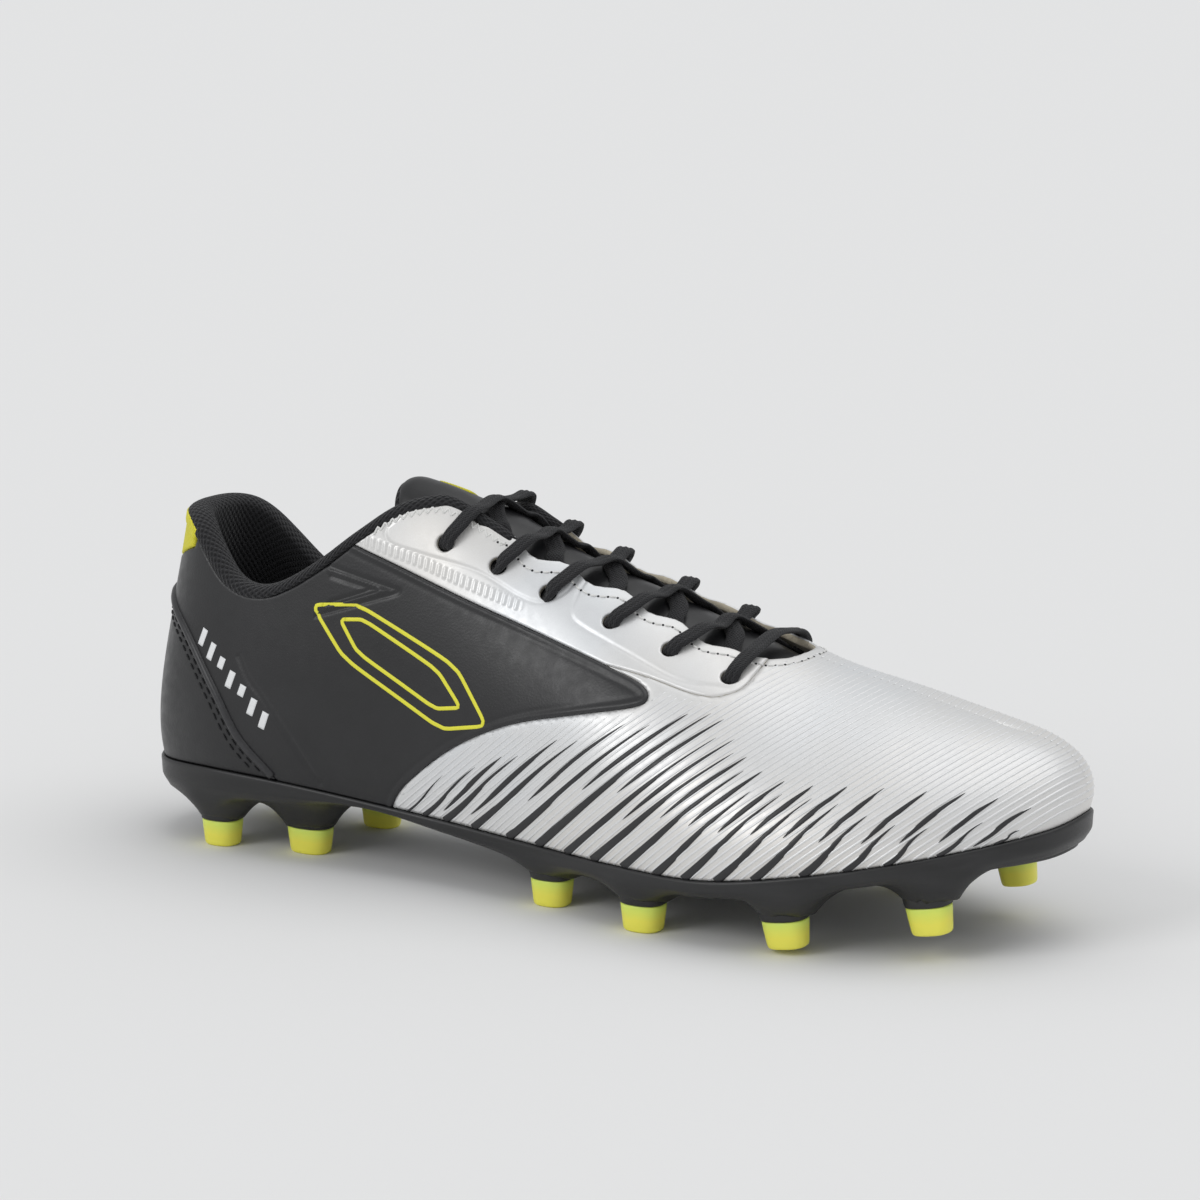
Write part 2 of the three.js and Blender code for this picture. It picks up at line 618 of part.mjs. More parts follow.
// ---- assembly ----
const boot = new THREE.Group();
boot.name = "boot";
boot.position.set(-MIDDLE_X, -MIDDLE_Y, 0);

function add(name, solid, look) {
  const made = solid.simplify(SLIVER).getMesh();
  const geometry = new THREE.BufferGeometry();
  geometry.setAttribute("position", new THREE.BufferAttribute(made.vertProperties, 3));
  geometry.setIndex(new THREE.BufferAttribute(made.triVerts, 1));
  geometry.computeVertexNormals();
  const mesh = new THREE.Mesh(geometry, look);
  mesh.name = name;
  boot.add(mesh);
}

function addSole() {
  add("outsole_plate", outsolePlate(), blackRubber());
  STUDS.forEach((stud) => add("stud_tip_" + stud[0], studTip(stud), yellowTip()));
  add("insole_board", layer(1.8, -(BOARD + GAP), -GAP), greyBoard());
  add("sockliner", layer(SOCKLINER_INSET, GAP, GAP + SOCKLINER), blackFoam());
}

function addUpper() {
  const skin = makeSkin();
  const sides = quarters(skin);
  const stays = eyestays(skin);
  add("quarter_lateral", onSide(sides, LATERAL), blackSkin());
  add("quarter_medial", onSide(sides, MEDIAL), blackSkin());
  add("heel_panel", largest(skin.intersect(heelRegion(GAP / -2))), blackSkin());
  add("heel_piping", largest(heelPiping()), blackSkin());
  add("heel_tab", largest(heelTab(skin)), yellowTextile());
  add("eyestay_lateral", onSide(stays, LATERAL), silverSkin());
  add("eyestay_medial", onSide(stays, MEDIAL), silverSkin());
  add("vamp", largest(vamp(skin)), silverSkin());
}

function addInner() {
  const lining = linings();
  const front = box(108, 320, -80, 80, 0, 140);
  const rear = box(-40, 108 - GAP, -80, 80, 0, 140);
  add("vamp_lining", largest(lining.intersect(front)), creamTextile());
  add("collar_lining", largest(lining.intersect(rear)), blackKnit());
  add("collar_foam", largest(collarFoam()), blackFoam());
  add("heel_counter", largest(heelCounter()), whitePlastic());
  add("toe_puff", largest(toePuff()), whitePlastic());
}

function addTongue() {
  const foamTop = TONGUE_FACE + GAP;
  const liningTop = foamTop + TONGUE_FOAM + GAP;
  add("tongue_face", largest(tongueLayer(0, TONGUE_FACE, 0)), blackKnit());
  add("tongue_foam", largest(tongueLayer(foamTop, TONGUE_FOAM, 1.2)), blackFoam());
  add("tongue_lining", largest(tongueLayer(liningTop, TONGUE_LINING, 0.4)), blackKnit());
  add("tongue_label", largest(tongueLabel()), yellowTextile());
}

function addLace() {
  const path = lacePath();
  const joint = 0.002;
  add("lace", cord(path, AGLET_SHARE + joint, 1 - AGLET_SHARE - joint, 176, LACE_RADIUS), blackLace());
  add("aglet_medial", cord(path, 0, AGLET_SHARE, 6, LACE_RADIUS - 0.1), blackRubber());
  add("aglet_lateral", cord(path, 1 - AGLET_SHARE, 1, 6, LACE_RADIUS - 0.1), blackRubber());
}

addSole();
addUpper();
addInner();
addTongue();
addLace();

export default boot;
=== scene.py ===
"""Looks of a right football boot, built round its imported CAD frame.

Lengths are millimetres in the part's build frame (heel at x = 0) until metres() turns them into the row
frame. Places on the upper are given as s, t: s counts the wall's sections from the heel (0) to the toe
(LAST), and t runs up the wall from the feather edge (0) to the crown or the collar (1)."""
import math

import bpy
import numpy as np
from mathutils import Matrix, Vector
from mathutils.bvhtree import BVHTree


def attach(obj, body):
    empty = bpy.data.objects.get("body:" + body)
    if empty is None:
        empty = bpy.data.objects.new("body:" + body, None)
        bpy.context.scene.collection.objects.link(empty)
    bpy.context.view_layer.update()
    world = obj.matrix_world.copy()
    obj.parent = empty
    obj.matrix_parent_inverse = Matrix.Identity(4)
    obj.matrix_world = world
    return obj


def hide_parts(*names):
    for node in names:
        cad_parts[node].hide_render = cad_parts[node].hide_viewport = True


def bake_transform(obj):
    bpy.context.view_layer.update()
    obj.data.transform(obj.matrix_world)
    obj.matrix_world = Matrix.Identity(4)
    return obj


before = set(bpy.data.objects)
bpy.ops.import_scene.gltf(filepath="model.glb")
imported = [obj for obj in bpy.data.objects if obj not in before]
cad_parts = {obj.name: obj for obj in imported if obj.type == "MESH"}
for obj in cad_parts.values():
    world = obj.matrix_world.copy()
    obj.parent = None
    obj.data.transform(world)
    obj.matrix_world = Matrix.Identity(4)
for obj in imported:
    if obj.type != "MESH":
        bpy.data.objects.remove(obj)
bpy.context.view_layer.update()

# ---- the boot's outer wall, as the CAD source has it ----
# where the row frame's origin lies in the build frame
PART_MIDDLE = np.array([142.45, -1.8, 0.0])
LATERAL, MEDIAL = -1, 1
SIDES = {LATERAL: "lateral", MEDIAL: "medial"}
SKIN = 1.8
LINING = 1.0
# x, lateral y z and medial y z at the feather edge; x, lateral y, medial y and z at the top;
# how far the lower curve handle goes out and up, and the upper one out and down
SECTIONS = np.array([
    [6.8, 0, 22, 0, 22, 17.6, 0, 0, 104, 4.4, 20, 3, 30],
    [9.5, -12, 22.3, 12, 22.3, 20.1, -10.5, 10.5, 104, 4.4, 20, 3, 30],
    [18, -22.5, 23, 22.5, 23, 29.6, -18.5, 18.5, 102, 4.8, 20, 3, 30],
    [36, -29, 24, 28.5, 24, 47, -22.5, 22.5, 100, 6, 20, 3, 28],
    [60, -30, 23.2, 28, 23.5, 66, -22, 22, 101, 6, 20, 4, 26],
    [85, -29.5, 21.2, 25.5, 22.5, 86, -19, 19, 105, 5, 22, 6, 22],
    [112, -29.5, 18.8, 25, 20.5, 107, -10, 11, 104.5, 5, 24, 13, 11],
    [140, -33.5, 17.3, 29.5, 18.2, 131, -1, 5, 95, 6, 22, 20, 2.6],
    [168, -40.5, 17.2, 36.5, 17.5, 157, 3.5, 3.5, 86, 7, 19, 24.5, 2],
    [195, -45, 18, 41, 18.2, 182, 4.5, 4.5, 76, 7, 16, 25, 1.4],
    [220, -43, 21.8, 40.5, 21.8, 205, 4.5, 4.5, 67.5, 6.5, 15, 22, 2],
    [243, -35.5, 26.2, 35, 26.2, 226, 4.5, 4.5, 62.5, 5.5, 14, 21, 1.5],
    [262, -23.5, 30.3, 26.5, 30.3, 243, 4.5, 4.5, 58.5, 4.5, 13, 19, 1.5],
    [274.5, -9.5, 33.2, 16.5, 33.2, 253, 4.5, 4.5, 56.2, 4, 12, 18, 1.5],
    [278, 4.5, 34.6, 4.5, 34.6, 257, 4.5, 4.5, 55.2, 4, 12, 17, 2],
])
LAST = len(SECTIONS) - 1
# height of the plate's side band and sag of its underside, one value for each section
BAND = [8.5, 9, 9.5, 9.5, 7, 3, 4.6, 6.4, 5.6, 5.4, 5.6, 5.8, 7, 8.4, 9]
SAG = [0, 0.2, 0.6, 1, 1.6, 2.4, 1.8, 1.2, 0.8, 0.6, 0.5, 0.4, 0.3, 0.1, 0]
# seams and edges: x z in side view, or x y in plan for the throats
COLLAR_LATERAL = [
    (4, 94), (15, 93.3), (22, 92), (27.5, 89), (33, 84.3), (40, 78.5), (47, 76), (54, 76.3), (60, 78.8),
    (65, 81.8), (71, 86), (77, 90.8), (83, 95.2), (89, 99.6), (95, 102.3), (102, 103.6), (108, 106),
    (112, 116),
]
COLLAR_MEDIAL = [
    (4, 94), (15, 93.3), (22, 91.6), (27.5, 87.4), (33, 81), (40, 73), (47, 69.5), (56, 68.8), (65, 71.6),
    (73.5, 78), (82, 86), (88.5, 92), (95, 95.2), (102, 96.4), (108, 96.9), (113, 98.2), (118, 104),
    (121, 116),
]
THROAT = [
    (96, -14.5), (107, -12.5), (130, -10.3), (157, -9), (180, -10.2), (192, -9.5), (199, -4), (201, 4.5),
    (199, 13), (192, 18.5), (180, 19.2), (157, 17), (130, 14.8), (107, 14), (96, 15),
]
LINING_THROAT = [
    (101, -22), (130, -22), (165, -20.5), (190, -20), (203, -12), (207, 4.5),
    (203, 21), (190, 29), (165, 28), (130, 25), (101, 23),
]
HEEL_SEAM = [(2, 72.5), (14, 68), (26.5, 60), (39, 46.5), (47.5, 34), (57, 24.5), (63, 16)]
QUARTER_FRONT = [
    (71, 93), (80.3, 89.3), (91.5, 85.5), (114.4, 77.7), (137.6, 70.8), (158.6, 65), (168.5, 61.8),
    (171.4, 58.8), (168, 56.6), (153.5, 53.4), (132.2, 47.9), (115, 39.7), (100.8, 28.7), (94.8, 20.8),
    (93.5, 12),
]
EYESTAY_EDGE = [(118, 67), (141, 67), (165, 64.4), (183, 60.8), (191, 61), (195, 65), (196, 80)]
# s, t of the eyelets, and s, t, depth of the lace end that is tucked inside
EYELET_RADIUS = 2.3
EYELETS = [(9.2, 0.7), (8.58, 0.71), (7.92, 0.71), (7.2, 0.71), (6.58, 0.735), (5.92, 0.77)]
TAIL = [
    (5.99, 0.725, 5.6), (6.05, 0.68, 6.2), (6.1, 0.64, 6.4), (6.25, 0.57, 6.6), (6.45, 0.49, 6.3),
    (6.8, 0.43, 5.9), (7.3, 0.4, 5.5), (7.9, 0.4, 5.5), (8.5, 0.41, 5.5), (9, 0.42, 5.5),
]
# name, section, share across the sole, height of the tip face, half length, half width
STUDS = [
    ("heel_lateral_rear", 2.88, 0.15, 0, 5.6, 4.8),
    ("heel_lateral_front", 3.98, 0.25, 0, 6.6, 4.6),
    ("heel_medial_rear", 2.95, 0.79, 0, 5.6, 4.8),
    ("heel_medial_front", 4.1, 0.81, 0, 6, 4.6),
    ("fore_lateral_1", 7.1, 0.1, 0, 5.6, 4.8),
    ("fore_lateral_2", 8.24, 0.07, 0, 5.9, 5),
    ("fore_lateral_3", 9.84, 0.085, 1.5, 6, 5),
    ("fore_lateral_4", 11.37, 0.1, 7, 5.9, 4.8),
    ("fore_medial_1", 7.21, 0.88, 0, 5.6, 4.8),
    ("fore_medial_2", 8.44, 0.9, 0, 5.9, 5),
    ("fore_medial_3", 10, 0.88, 1.8, 5.8, 5),
    ("fore_medial_4", 11.57, 0.845, 8.6, 5.2, 4.6),
]
TIP_HEIGHT = 7.3
UP = np.array([0, 0, 1.0])


def metres(points):
    return (np.asarray(points, float) - PART_MIDDLE) / 1000


def smooth(x):
    c = np.clip(x, 0, 1)
    return c * c * (3 - 2 * c)


def unit(v):
    return v / np.maximum(np.linalg.norm(v, axis=-1, keepdims=True), 1e-9)


def arc_length(line):
    """Distance run along a polyline at each of its points."""
    return np.concatenate([[0], np.cumsum(np.linalg.norm(np.diff(line, axis=0), axis=1))])


def side_rows(side):
    """Section columns of one side with a mirrored ghost row before the heel and past the toe:
    feather x y z, top x y z, lower handle out and rise, upper handle out and drop."""
    rows = []
    for index in range(-1, LAST + 2):
        ghost = index < 0 or index > LAST
        row = SECTIONS[-index if index < 0 else 2 * LAST - index if index > LAST else index]
        lateral = (side == LATERAL) != ghost
        x, ly, lz, my, mz, tx, tl, tm, tz, out, rise, crown_out, crown_drop = row
        if index > LAST:
            tx, tz = 2 * SECTIONS[LAST][5] - tx, 2 * SECTIONS[LAST][8] - tz
        foot = (x, ly, lz) if lateral else (x, my, mz)
        rows.append([*foot, tx, tl if lateral else tm, tz, out, rise, crown_out, crown_drop])
    return np.array(rows)


ROWS = {side: side_rows(side) for side in SIDES}


def catmull_rom(a, b, c, d, f):
    cube = 3 * b - a - 3 * c + d
    return 0.5 * (2 * b + (c - a) * f + (2 * a - 5 * b + 4 * c - d) * f ** 2 + cube * f ** 3)


def spline(rows, s):
    """Catmull-Rom curve through rows, at section s."""
    i = np.clip(np.floor(s).astype(int), 0, LAST - 1)
    return catmull_rom(rows[i], rows[i + 1], rows[i + 2], rows[i + 3], (s - i)[..., None])


def along(values, s):
    padded = np.array([values[0], *values, values[-1]], float)[:, None]
    return spline(padded, np.asarray(s, float))[..., 0]


def feather(side, s):
    """Feather edge points, their outward direction in plan, and the whole section rows."""
    s = np.asarray(s, float)
    row = spline(ROWS[side], s)
    ahead = spline(ROWS[side], np.minimum(s + 0.01, LAST))
    behind = spline(ROWS[side], np.maximum(s - 0.01, 0))
    turn = (ahead - behind)[..., :2]
    out = np.stack([turn[..., 1], -turn[..., 0], np.zeros(s.shape)], -1) * -side
    out = unit(out)
    out[s <= 0] = (-1, 0, 0)
    out[s >= LAST] = (1, 0, 0)
    return row[..., :3], out, row


RIDGE_RADIUS = 9.0


def wall_of(side, s, t):
    point, out, row = feather(side, s)
    top = row[..., 3:6]
    lower = point + out * row[..., 6:7] + UP * row[..., 7:8]
    upper = top + out * row[..., 8:9] - UP * row[..., 9:10]
    t = t[..., None]
    q = 1 - t
    made = point * q ** 3 + lower * 3 * q * q * t + upper * 3 * q * t * t + top * t ** 3
    # the two sides meet in a rounded crown and not in a crease
    away = np.linalg.norm((made - top)[..., :2], axis=-1)
    slope = row[..., 9] / row[..., 8] * smooth((s - 7.4) / 1.2)
    made[..., 2] -= slope * (np.sqrt(away ** 2 + RIDGE_RADIUS ** 2) - away)
    return made


def folded(s):
    """Sections before the heel or past the toe belong to the other side."""
    flip = (s < 0) | (s > LAST)
    return flip, np.where(s < 0, -s, np.where(s > LAST, 2 * LAST - s, s))


def wall(side, s, t):
    s, t = np.broadcast_arrays(np.asarray(s, float), np.asarray(t, float))
    flip, s = folded(s)
    return np.where(flip[..., None], wall_of(-side, s, t), wall_of(side, s, t))


def bare_normal(side, s, t):
    step = 0.01
    forwards = wall(side, s + step, t) - wall(side, s - step, t)
    forwards[s < step] = (0, side, 0)
    forwards[s > LAST - step] = (0, -side, 0)
    upwards = wall(side, s, np.minimum(t + step, 1)) - wall(side, s, np.maximum(t - step, 0))
    return unit(np.cross(forwards, upwards) * -side)


def normal(side, s, t):
    s, t = np.broadcast_arrays(np.asarray(s, float), np.asarray(t, float))
    flip, s = folded(s)
    crown = np.ones_like(s)
    both = unit(bare_normal(LATERAL, s, crown) + bare_normal(MEDIAL, s, crown))
    share = (smooth((s - 5) / 2) * smooth((t - 0.88) / 0.12))[..., None]
    mixed = [unit(bare_normal(x, s, t) * (1 - share) + both * share) for x in (side, -side)]
    return np.where(flip[..., None], mixed[1], mixed[0])


def inset(side, s, t, depth):
    return wall(side, s, t) - normal(side, s, t) * np.asarray(depth, float)[..., None]


def roof(s, share, depth):
    lateral = inset(LATERAL, s, 1.0, depth)
    medial = inset(MEDIAL, s, 1.0, depth)
    share = np.asarray(share, float)[..., None]
    width = np.linalg.norm(lateral - medial, axis=-1, keepdims=True)
    return lateral * (1 - share) + medial * share + UP * 0.4 * width * share * (1 - share)


def lining_depth(s, t):
    """Depth of the lining's outer face."""
    toe = smooth((s - 9.3) / 0.9)
    heel = 1 - smooth((s - 5) / 2)
    pad = heel * smooth((t - 0.38) / 0.22)
    return SKIN + 0.3 + 1.1 * toe + 1.5 * heel + 2.4 * pad


# ---- curves, fields and lookups on the wall ----
def curve(points, pieces=8):
    """Catmull-Rom curve through a list of plane points."""
    p = np.array(points, float)
    p = np.vstack([p[:1], p, p[-1:]])
    out = []
    for i in range(1, len(p) - 2):
        for f in np.linspace(0, 1, pieces, endpoint=False):
            out.append(catmull_rom(*p[i - 1: i + 3], f))
    return np.array([*out, p[-2]])


def to_line(points, line):
    """Distance of each plane point to a polyline."""
    best = np.full(len(points), 1e9)
    for a, b in zip(line[:-1], line[1:]):
        d = b - a
        f = np.clip(((points - a) @ d) / max(d @ d, 1e-12), 0, 1)
        best = np.minimum(best, np.linalg.norm(points - a - f[:, None] * d, axis=1))
    return best


def inside(points, outline):
    x, y = points[:, 0], points[:, 1]
    odd = np.zeros(len(points), bool)
    for (ax, ay), (bx, by) in zip(outline, np.roll(outline, -1, axis=0)):
        if ay == by:
            continue
        odd ^= ((ay > y) != (by > y)) & (x < (bx - ax) * (y - ay) / (by - ay) + ax)
    return odd


class Region:
    """Signed distance to a seam, positive inside the region that the seam and some far corners close."""

    def __init__(self, seam, corners=(), plan=False, pieces=8):
        self.seam = curve(seam, pieces)
        self.outline = np.vstack([self.seam, corners]) if len(corners) else self.seam
        self.axes = (0, 1) if plan else (0, 2)

    def __call__(self, points):
        flat = points[:, self.axes]
        sign = np.where(inside(flat, self.outline), 1, -1)
        return sign * to_line(flat, self.seam)


heel_region = Region(HEEL_SEAM, [(50, -30), (-60, -30), (-60, 72.5)])
quarter_region = Region(QUARTER_FRONT, [(80, -30), (-60, -30), (-60, 130)])
eyestay_region = Region(EYESTAY_EDGE, [(196, 150), (60, 150), (60, 67)])
collar_sides = {LATERAL: Region(COLLAR_LATERAL, [(112, 160), (-60, 160), (-60, 94)]),
                MEDIAL: Region(COLLAR_MEDIAL, [(121, 160), (-60, 160), (-60, 94)])}


def collar_region(points):
    points = np.atleast_2d(points)
    return np.where(points[:, 1] < 0, collar_sides[LATERAL](points), collar_sides[MEDIAL](points))


def scalloped_throat():
    """Throat edge in plan, cut deeper between the eyelets."""
    line = curve(THROAT, 10)
    first, pitch, depth = 103.8, 16.8, 2.1  # first deep cut, distance to the next one, mm of depth
    wave = 0.5 - 0.5 * np.cos(2 * np.pi * (line[:, 0] - first) / pitch)
    fade = smooth((line[:, 0] - 100) / 12) * (1 - smooth((line[:, 0] - 186) / 8))
    line[:, 1] += np.sign(line[:, 1] - 4) * depth * wave * fade
    return line


throat_region = Region(THROAT, plan=True)
throat_region.seam = scalloped_throat()
throat_region.outline = throat_region.seam


TAB_HALF_WIDTH, TAB_FRONT, TAB_BOTTOM = 19.5, 33, 76


def tab_field(points):
    """Positive inside the heel tab, which ends in a shallow arc at its lower edge."""
    x, y, z = points.T
    low = TAB_BOTTOM + 0.018 * y * y
    return np.minimum.reduce([TAB_HALF_WIDTH - np.abs(y), z - low, TAB_FRONT - x])


LOOK_S, LOOK_T = np.meshgrid(np.linspace(0, LAST, 281), np.linspace(0, 1, 61), indexing="ij")
LOOK = {side: wall(side, LOOK_S, LOOK_T).reshape(-1, 3) for side in SIDES}


def on_wall(side, flat, axes=(0, 2)):
    """Section and height of the wall under plane points: side view by default, plan with axes (0, 1)."""
    flat = np.asarray(flat, float)
    grid = LOOK[side][:, axes]
    start = []
    for p in flat:
        away = np.sum((grid - p) ** 2, axis=1)
        if axes == (0, 1):
            away = away + np.where(LOOK_T.ravel() < 0.45, 1e6, 0)
        start.append(np.argmin(away))
    s, t = LOOK_S.ravel()[start].copy(), LOOK_T.ravel()[start].copy()
    h = 1e-3
    for _ in range(6):
        here = wall(side, s, t)[:, axes]
        ds = (wall(side, s + h, t)[:, axes] - here) / h
        dt = (wall(side, s, t + h)[:, axes] - here) / h
        miss = flat - here
        det = ds[:, 0] * dt[:, 1] - ds[:, 1] * dt[:, 0]
        det = np.where(np.abs(det) < 1e-6, 1e-6, det)
        s = np.clip(s + np.clip((miss[:, 0] * dt[:, 1] - miss[:, 1] * dt[:, 0]) / det, -0.3, 0.3), 0, LAST)
        t = np.clip(t + np.clip((ds[:, 0] * miss[:, 1] - ds[:, 1] * miss[:, 0]) / det, -0.1, 0.1), 0, 1)
    return s, t


# ---- meshes ----
def make_object(name, points, faces, looks, face_slots=None, cloth=None, values=None, sharp=None):
    """One mesh object from millimetre points. cloth holds weave coordinates in mm, values named scalars."""
    mesh = bpy.data.meshes.new(name)
    mesh.from_pydata(metres(points).tolist(), [], [list(map(int, f)) for f in faces])
    for look in looks:
        mesh.materials.append(MATERIALS[look])
    if face_slots is not None:
        mesh.polygons.foreach_set("material_index", np.asarray(face_slots, np.int32))
    if cloth is not None:
        flat = np.zeros((len(points), 3), np.float32)
        flat[:, :2] = np.asarray(cloth)[:, :2]
        mesh.attributes.new("cloth", "FLOAT_VECTOR", "POINT").data.foreach_set("vector", flat.ravel())
    for key, data in (values or {}).items():
        attribute = mesh.attributes.new(key, "FLOAT", "POINT")
        attribute.data.foreach_set("value", np.asarray(data, np.float32))
    mesh.shade_smooth()
    mesh.update()
    if sharp:
        mesh.set_sharp_from_angle(angle=math.radians(sharp))
    made = bpy.data.objects.new(name, mesh)
    bpy.context.scene.collection.objects.link(made)
    return made


def place(piece, slot, *nodes, body="boot"):
    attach(piece, body)
    if nodes:
        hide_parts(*nodes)
    return piece


class Parts:
    """Collects several small closed solids into one mesh."""

    def __init__(self):
        self.points, self.faces, self.cloth, self.count = [], [], [], 0

    def add(self, points, faces, cloth=None):
        self.points.append(points)
        self.faces.extend([[i + self.count for i in f] for f in faces])
        self.cloth.append(np.zeros((len(points), 2)) if cloth is None else cloth)
        self.count += len(points)

    def build(self, name, look):
        return make_object(name, np.vstack(self.points), self.faces, [look], cloth=np.vstack(self.cloth))


def ring_faces(rings, size, closed=True, capped=True):
    faces = []
    last = size if closed else size - 1
    for i in range(rings - 1):
        for j in range(last):
            k = (j + 1) % size
            faces.append((i * size + j, i * size + k, (i + 1) * size + k, (i + 1) * size + j))
    if capped:
        faces.append(tuple(range(size))[::-1])
        faces.append(tuple((rings - 1) * size + j for j in range(size)))
    return faces


def sweep(points, normals, profile, scale=None):
    """Closed tube of a profile (across, up) along points on a surface. scale shrinks each ring."""
    points = np.asarray(points, float)
    ahead = unit(np.gradient(points, axis=0))
    across = unit(np.cross(normals, ahead))
    up = unit(np.cross(ahead, across))
    scale = np.ones((len(points), 2)) if scale is None else np.asarray(scale, float)
    profile = np.asarray(profile, float)
    rings = (points[:, None]
             + across[:, None] * (profile[None, :, :1] * scale[:, None, :1])
             + up[:, None] * (profile[None, :, 1:] * scale[:, None, 1:]))
    size = len(profile)
    run = arc_length(points)
    girth = arc_length(profile)
    cloth = np.stack(np.broadcast_arrays(run[:, None], girth[None]), -1).reshape(-1, 2)
    return rings.reshape(-1, 3), ring_faces(len(points), size), cloth


def strip_profile(half, height, sunk=0.25):
    """Low rounded strip, its foot sunk into what it lies on."""
    return [(-half, -sunk), (-half, 0.35 * height), (-0.72 * half, 0.85 * height), (-0.3 * half, height),
            (0.3 * half, height), (0.72 * half, 0.85 * height), (half, 0.35 * height), (half, -sunk)]


def round_profile(radius, sides=6):
    a = 2 * np.pi * np.arange(sides) / sides
    return np.stack([radius * np.cos(a), radius * np.sin(a)], -1)


def sample(line, run, at):
    """Points of a polyline at distances at, where run is the distance of each of its own points."""
    return np.stack([np.interp(at, run, column) for column in line.T], -1)


def resample(line, step):
    """The same polyline with points about step apart."""
    line = np.asarray(line, float)
    run = arc_length(line)
    count = max(int(round(run[-1] / step)), 2)
    return sample(line, run, np.linspace(0, run[-1], count + 1))


# ---- sheets cut out of the wall ----
def grid_tris(shape):
    """Two triangles for every cell of a grid of points."""
    index = np.arange(shape[0] * shape[1]).reshape(shape)
    corners = index[:-1, :-1], index[1:, :-1], index[1:, 1:], index[:-1, 1:]
    a, b, c, d = (corner.ravel() for corner in corners)
    return np.concatenate([np.stack([a, b, c], -1), np.stack([a, c, d], -1)])


def grid_sheet(s_values, t_values):
    s, t = np.meshgrid(s_values, t_values, indexing="ij")
    return np.stack([s.ravel(), t.ravel()], -1), grid_tris(s.shape)


def all_edges(tris):
    return np.concatenate([tris[:, [0, 1]], tris[:, [1, 2]], tris[:, [2, 0]]])


def cut(params, tris, position, field):
    """Keeps the part of a triangle sheet where field is positive, with a clean edge on field = 0."""
    value = field(position(params))
    edges = np.unique(np.sort(all_edges(tris), axis=1), axis=0)
    a, b = edges.T
    crossing = value[a] * value[b] < 0
    a, b = a[crossing], b[crossing]
    share = value[a] / (value[a] - value[b])
    for end, other, near in ((a, b, share < 0.3), (b, a, share > 0.7)):
        vertex, first = np.unique(end[near], return_index=True)
        f = (share if end is a else 1 - share)[near][first][:, None]
        params[vertex] = params[vertex] * (1 - f) + params[other[near][first]] * f
        value[vertex] = 0
    sign = np.sign(value)[tris]
    kept = tris[(sign.min(1) >= 0) & (sign.max(1) > 0)]
    mixed = tris[(sign.min(1) < 0) & (sign.max(1) > 0)]
    if not len(mixed):
        return tidy_sheet(params, kept)
    edges = np.unique(np.sort(all_edges(mixed), axis=1), axis=0)
    a, b = edges.T
    crossing = value[a] * value[b] < 0
    a, b = a[crossing], b[crossing]
    lo, hi = np.zeros(len(a)), np.ones(len(a))
    for _ in range(10):
        middle = (lo + hi) / 2
        at = params[a] * (1 - middle[:, None]) + params[b] * middle[:, None]
        same = np.sign(field(position(at))) == np.sign(value[a])
        lo, hi = np.where(same, middle, lo), np.where(same, hi, middle)
    middle = ((lo + hi) / 2)[:, None]
    fresh = params[a] * (1 - middle) + params[b] * middle
    lookup = {(int(i), int(j)): len(params) + k for k, (i, j) in enumerate(zip(a, b))}
    made = []
    for tri in mixed:
        ring = []
        for k in range(3):
            i, j = int(tri[k]), int(tri[(k + 1) % 3])
            if value[i] >= 0:
                ring.append(i)
            if value[i] * value[j] < 0:
                ring.append(lookup[(min(i, j), max(i, j))])
        made.extend((ring[0], ring[k], ring[k + 1]) for k in range(1, len(ring) - 1))
    params = np.vstack([params, fresh])
    return tidy_sheet(params, np.vstack([kept, np.array(made, int).reshape(-1, 3)]))


def tidy_sheet(params, tris):
    used, back = np.unique(tris, return_inverse=True)
    return params[used], back.reshape(-1, 3)


def same_place(points, grain=2e-3):
    """One vertex for each place that is taken, and the number of the place where each vertex lies."""
    keys = np.round(points / grain).astype(np.int64)
    _, first, back = np.unique(keys, axis=0, return_index=True, return_inverse=True)
    return first, back.ravel()


def weld(points, tris):
    """Joins vertices that lie in the same place, and drops the triangles that this closes up."""
    first, back = same_place(points)
    tris = back[tris]
    good = (tris[:, 0] != tris[:, 1]) & (tris[:, 1] != tris[:, 2]) & (tris[:, 2] != tris[:, 0])
    return first, tris[good]


def largest_part(count, tris):
    """Only the biggest connected piece of a sheet."""
    label = np.arange(count)
    while True:
        low = label[tris].min(1)
        fresh = label.copy()
        for k in range(3):
            np.minimum.at(fresh, tris[:, k], low)
        fresh = fresh[fresh]
        if (fresh == label).all():
            break
        label = fresh
    names, counts = np.unique(label[tris[:, 0]], return_counts=True)
    return tris[label[tris[:, 0]] == names[np.argmax(counts)]]


def thick_sheet(outer, inner, tris):
    """Closed solid between two copies of a sheet; returns points, faces and a slot: 0 out, 1 rim, 2 in."""
    count = len(outer)
    edges = all_edges(tris)
    _, index, uses = np.unique(np.sort(edges, axis=1), axis=0, return_index=True, return_counts=True)
    rim = edges[index[uses == 1]]
    faces = [tuple(t) for t in tris] + [tuple(t[::-1] + count) for t in tris]
    faces += [(b, a, a + count, b + count) for a, b in rim]
    slots = [0] * len(tris) + [2] * len(tris) + [1] * len(rim)
    return np.vstack([outer, inner]), faces, slots


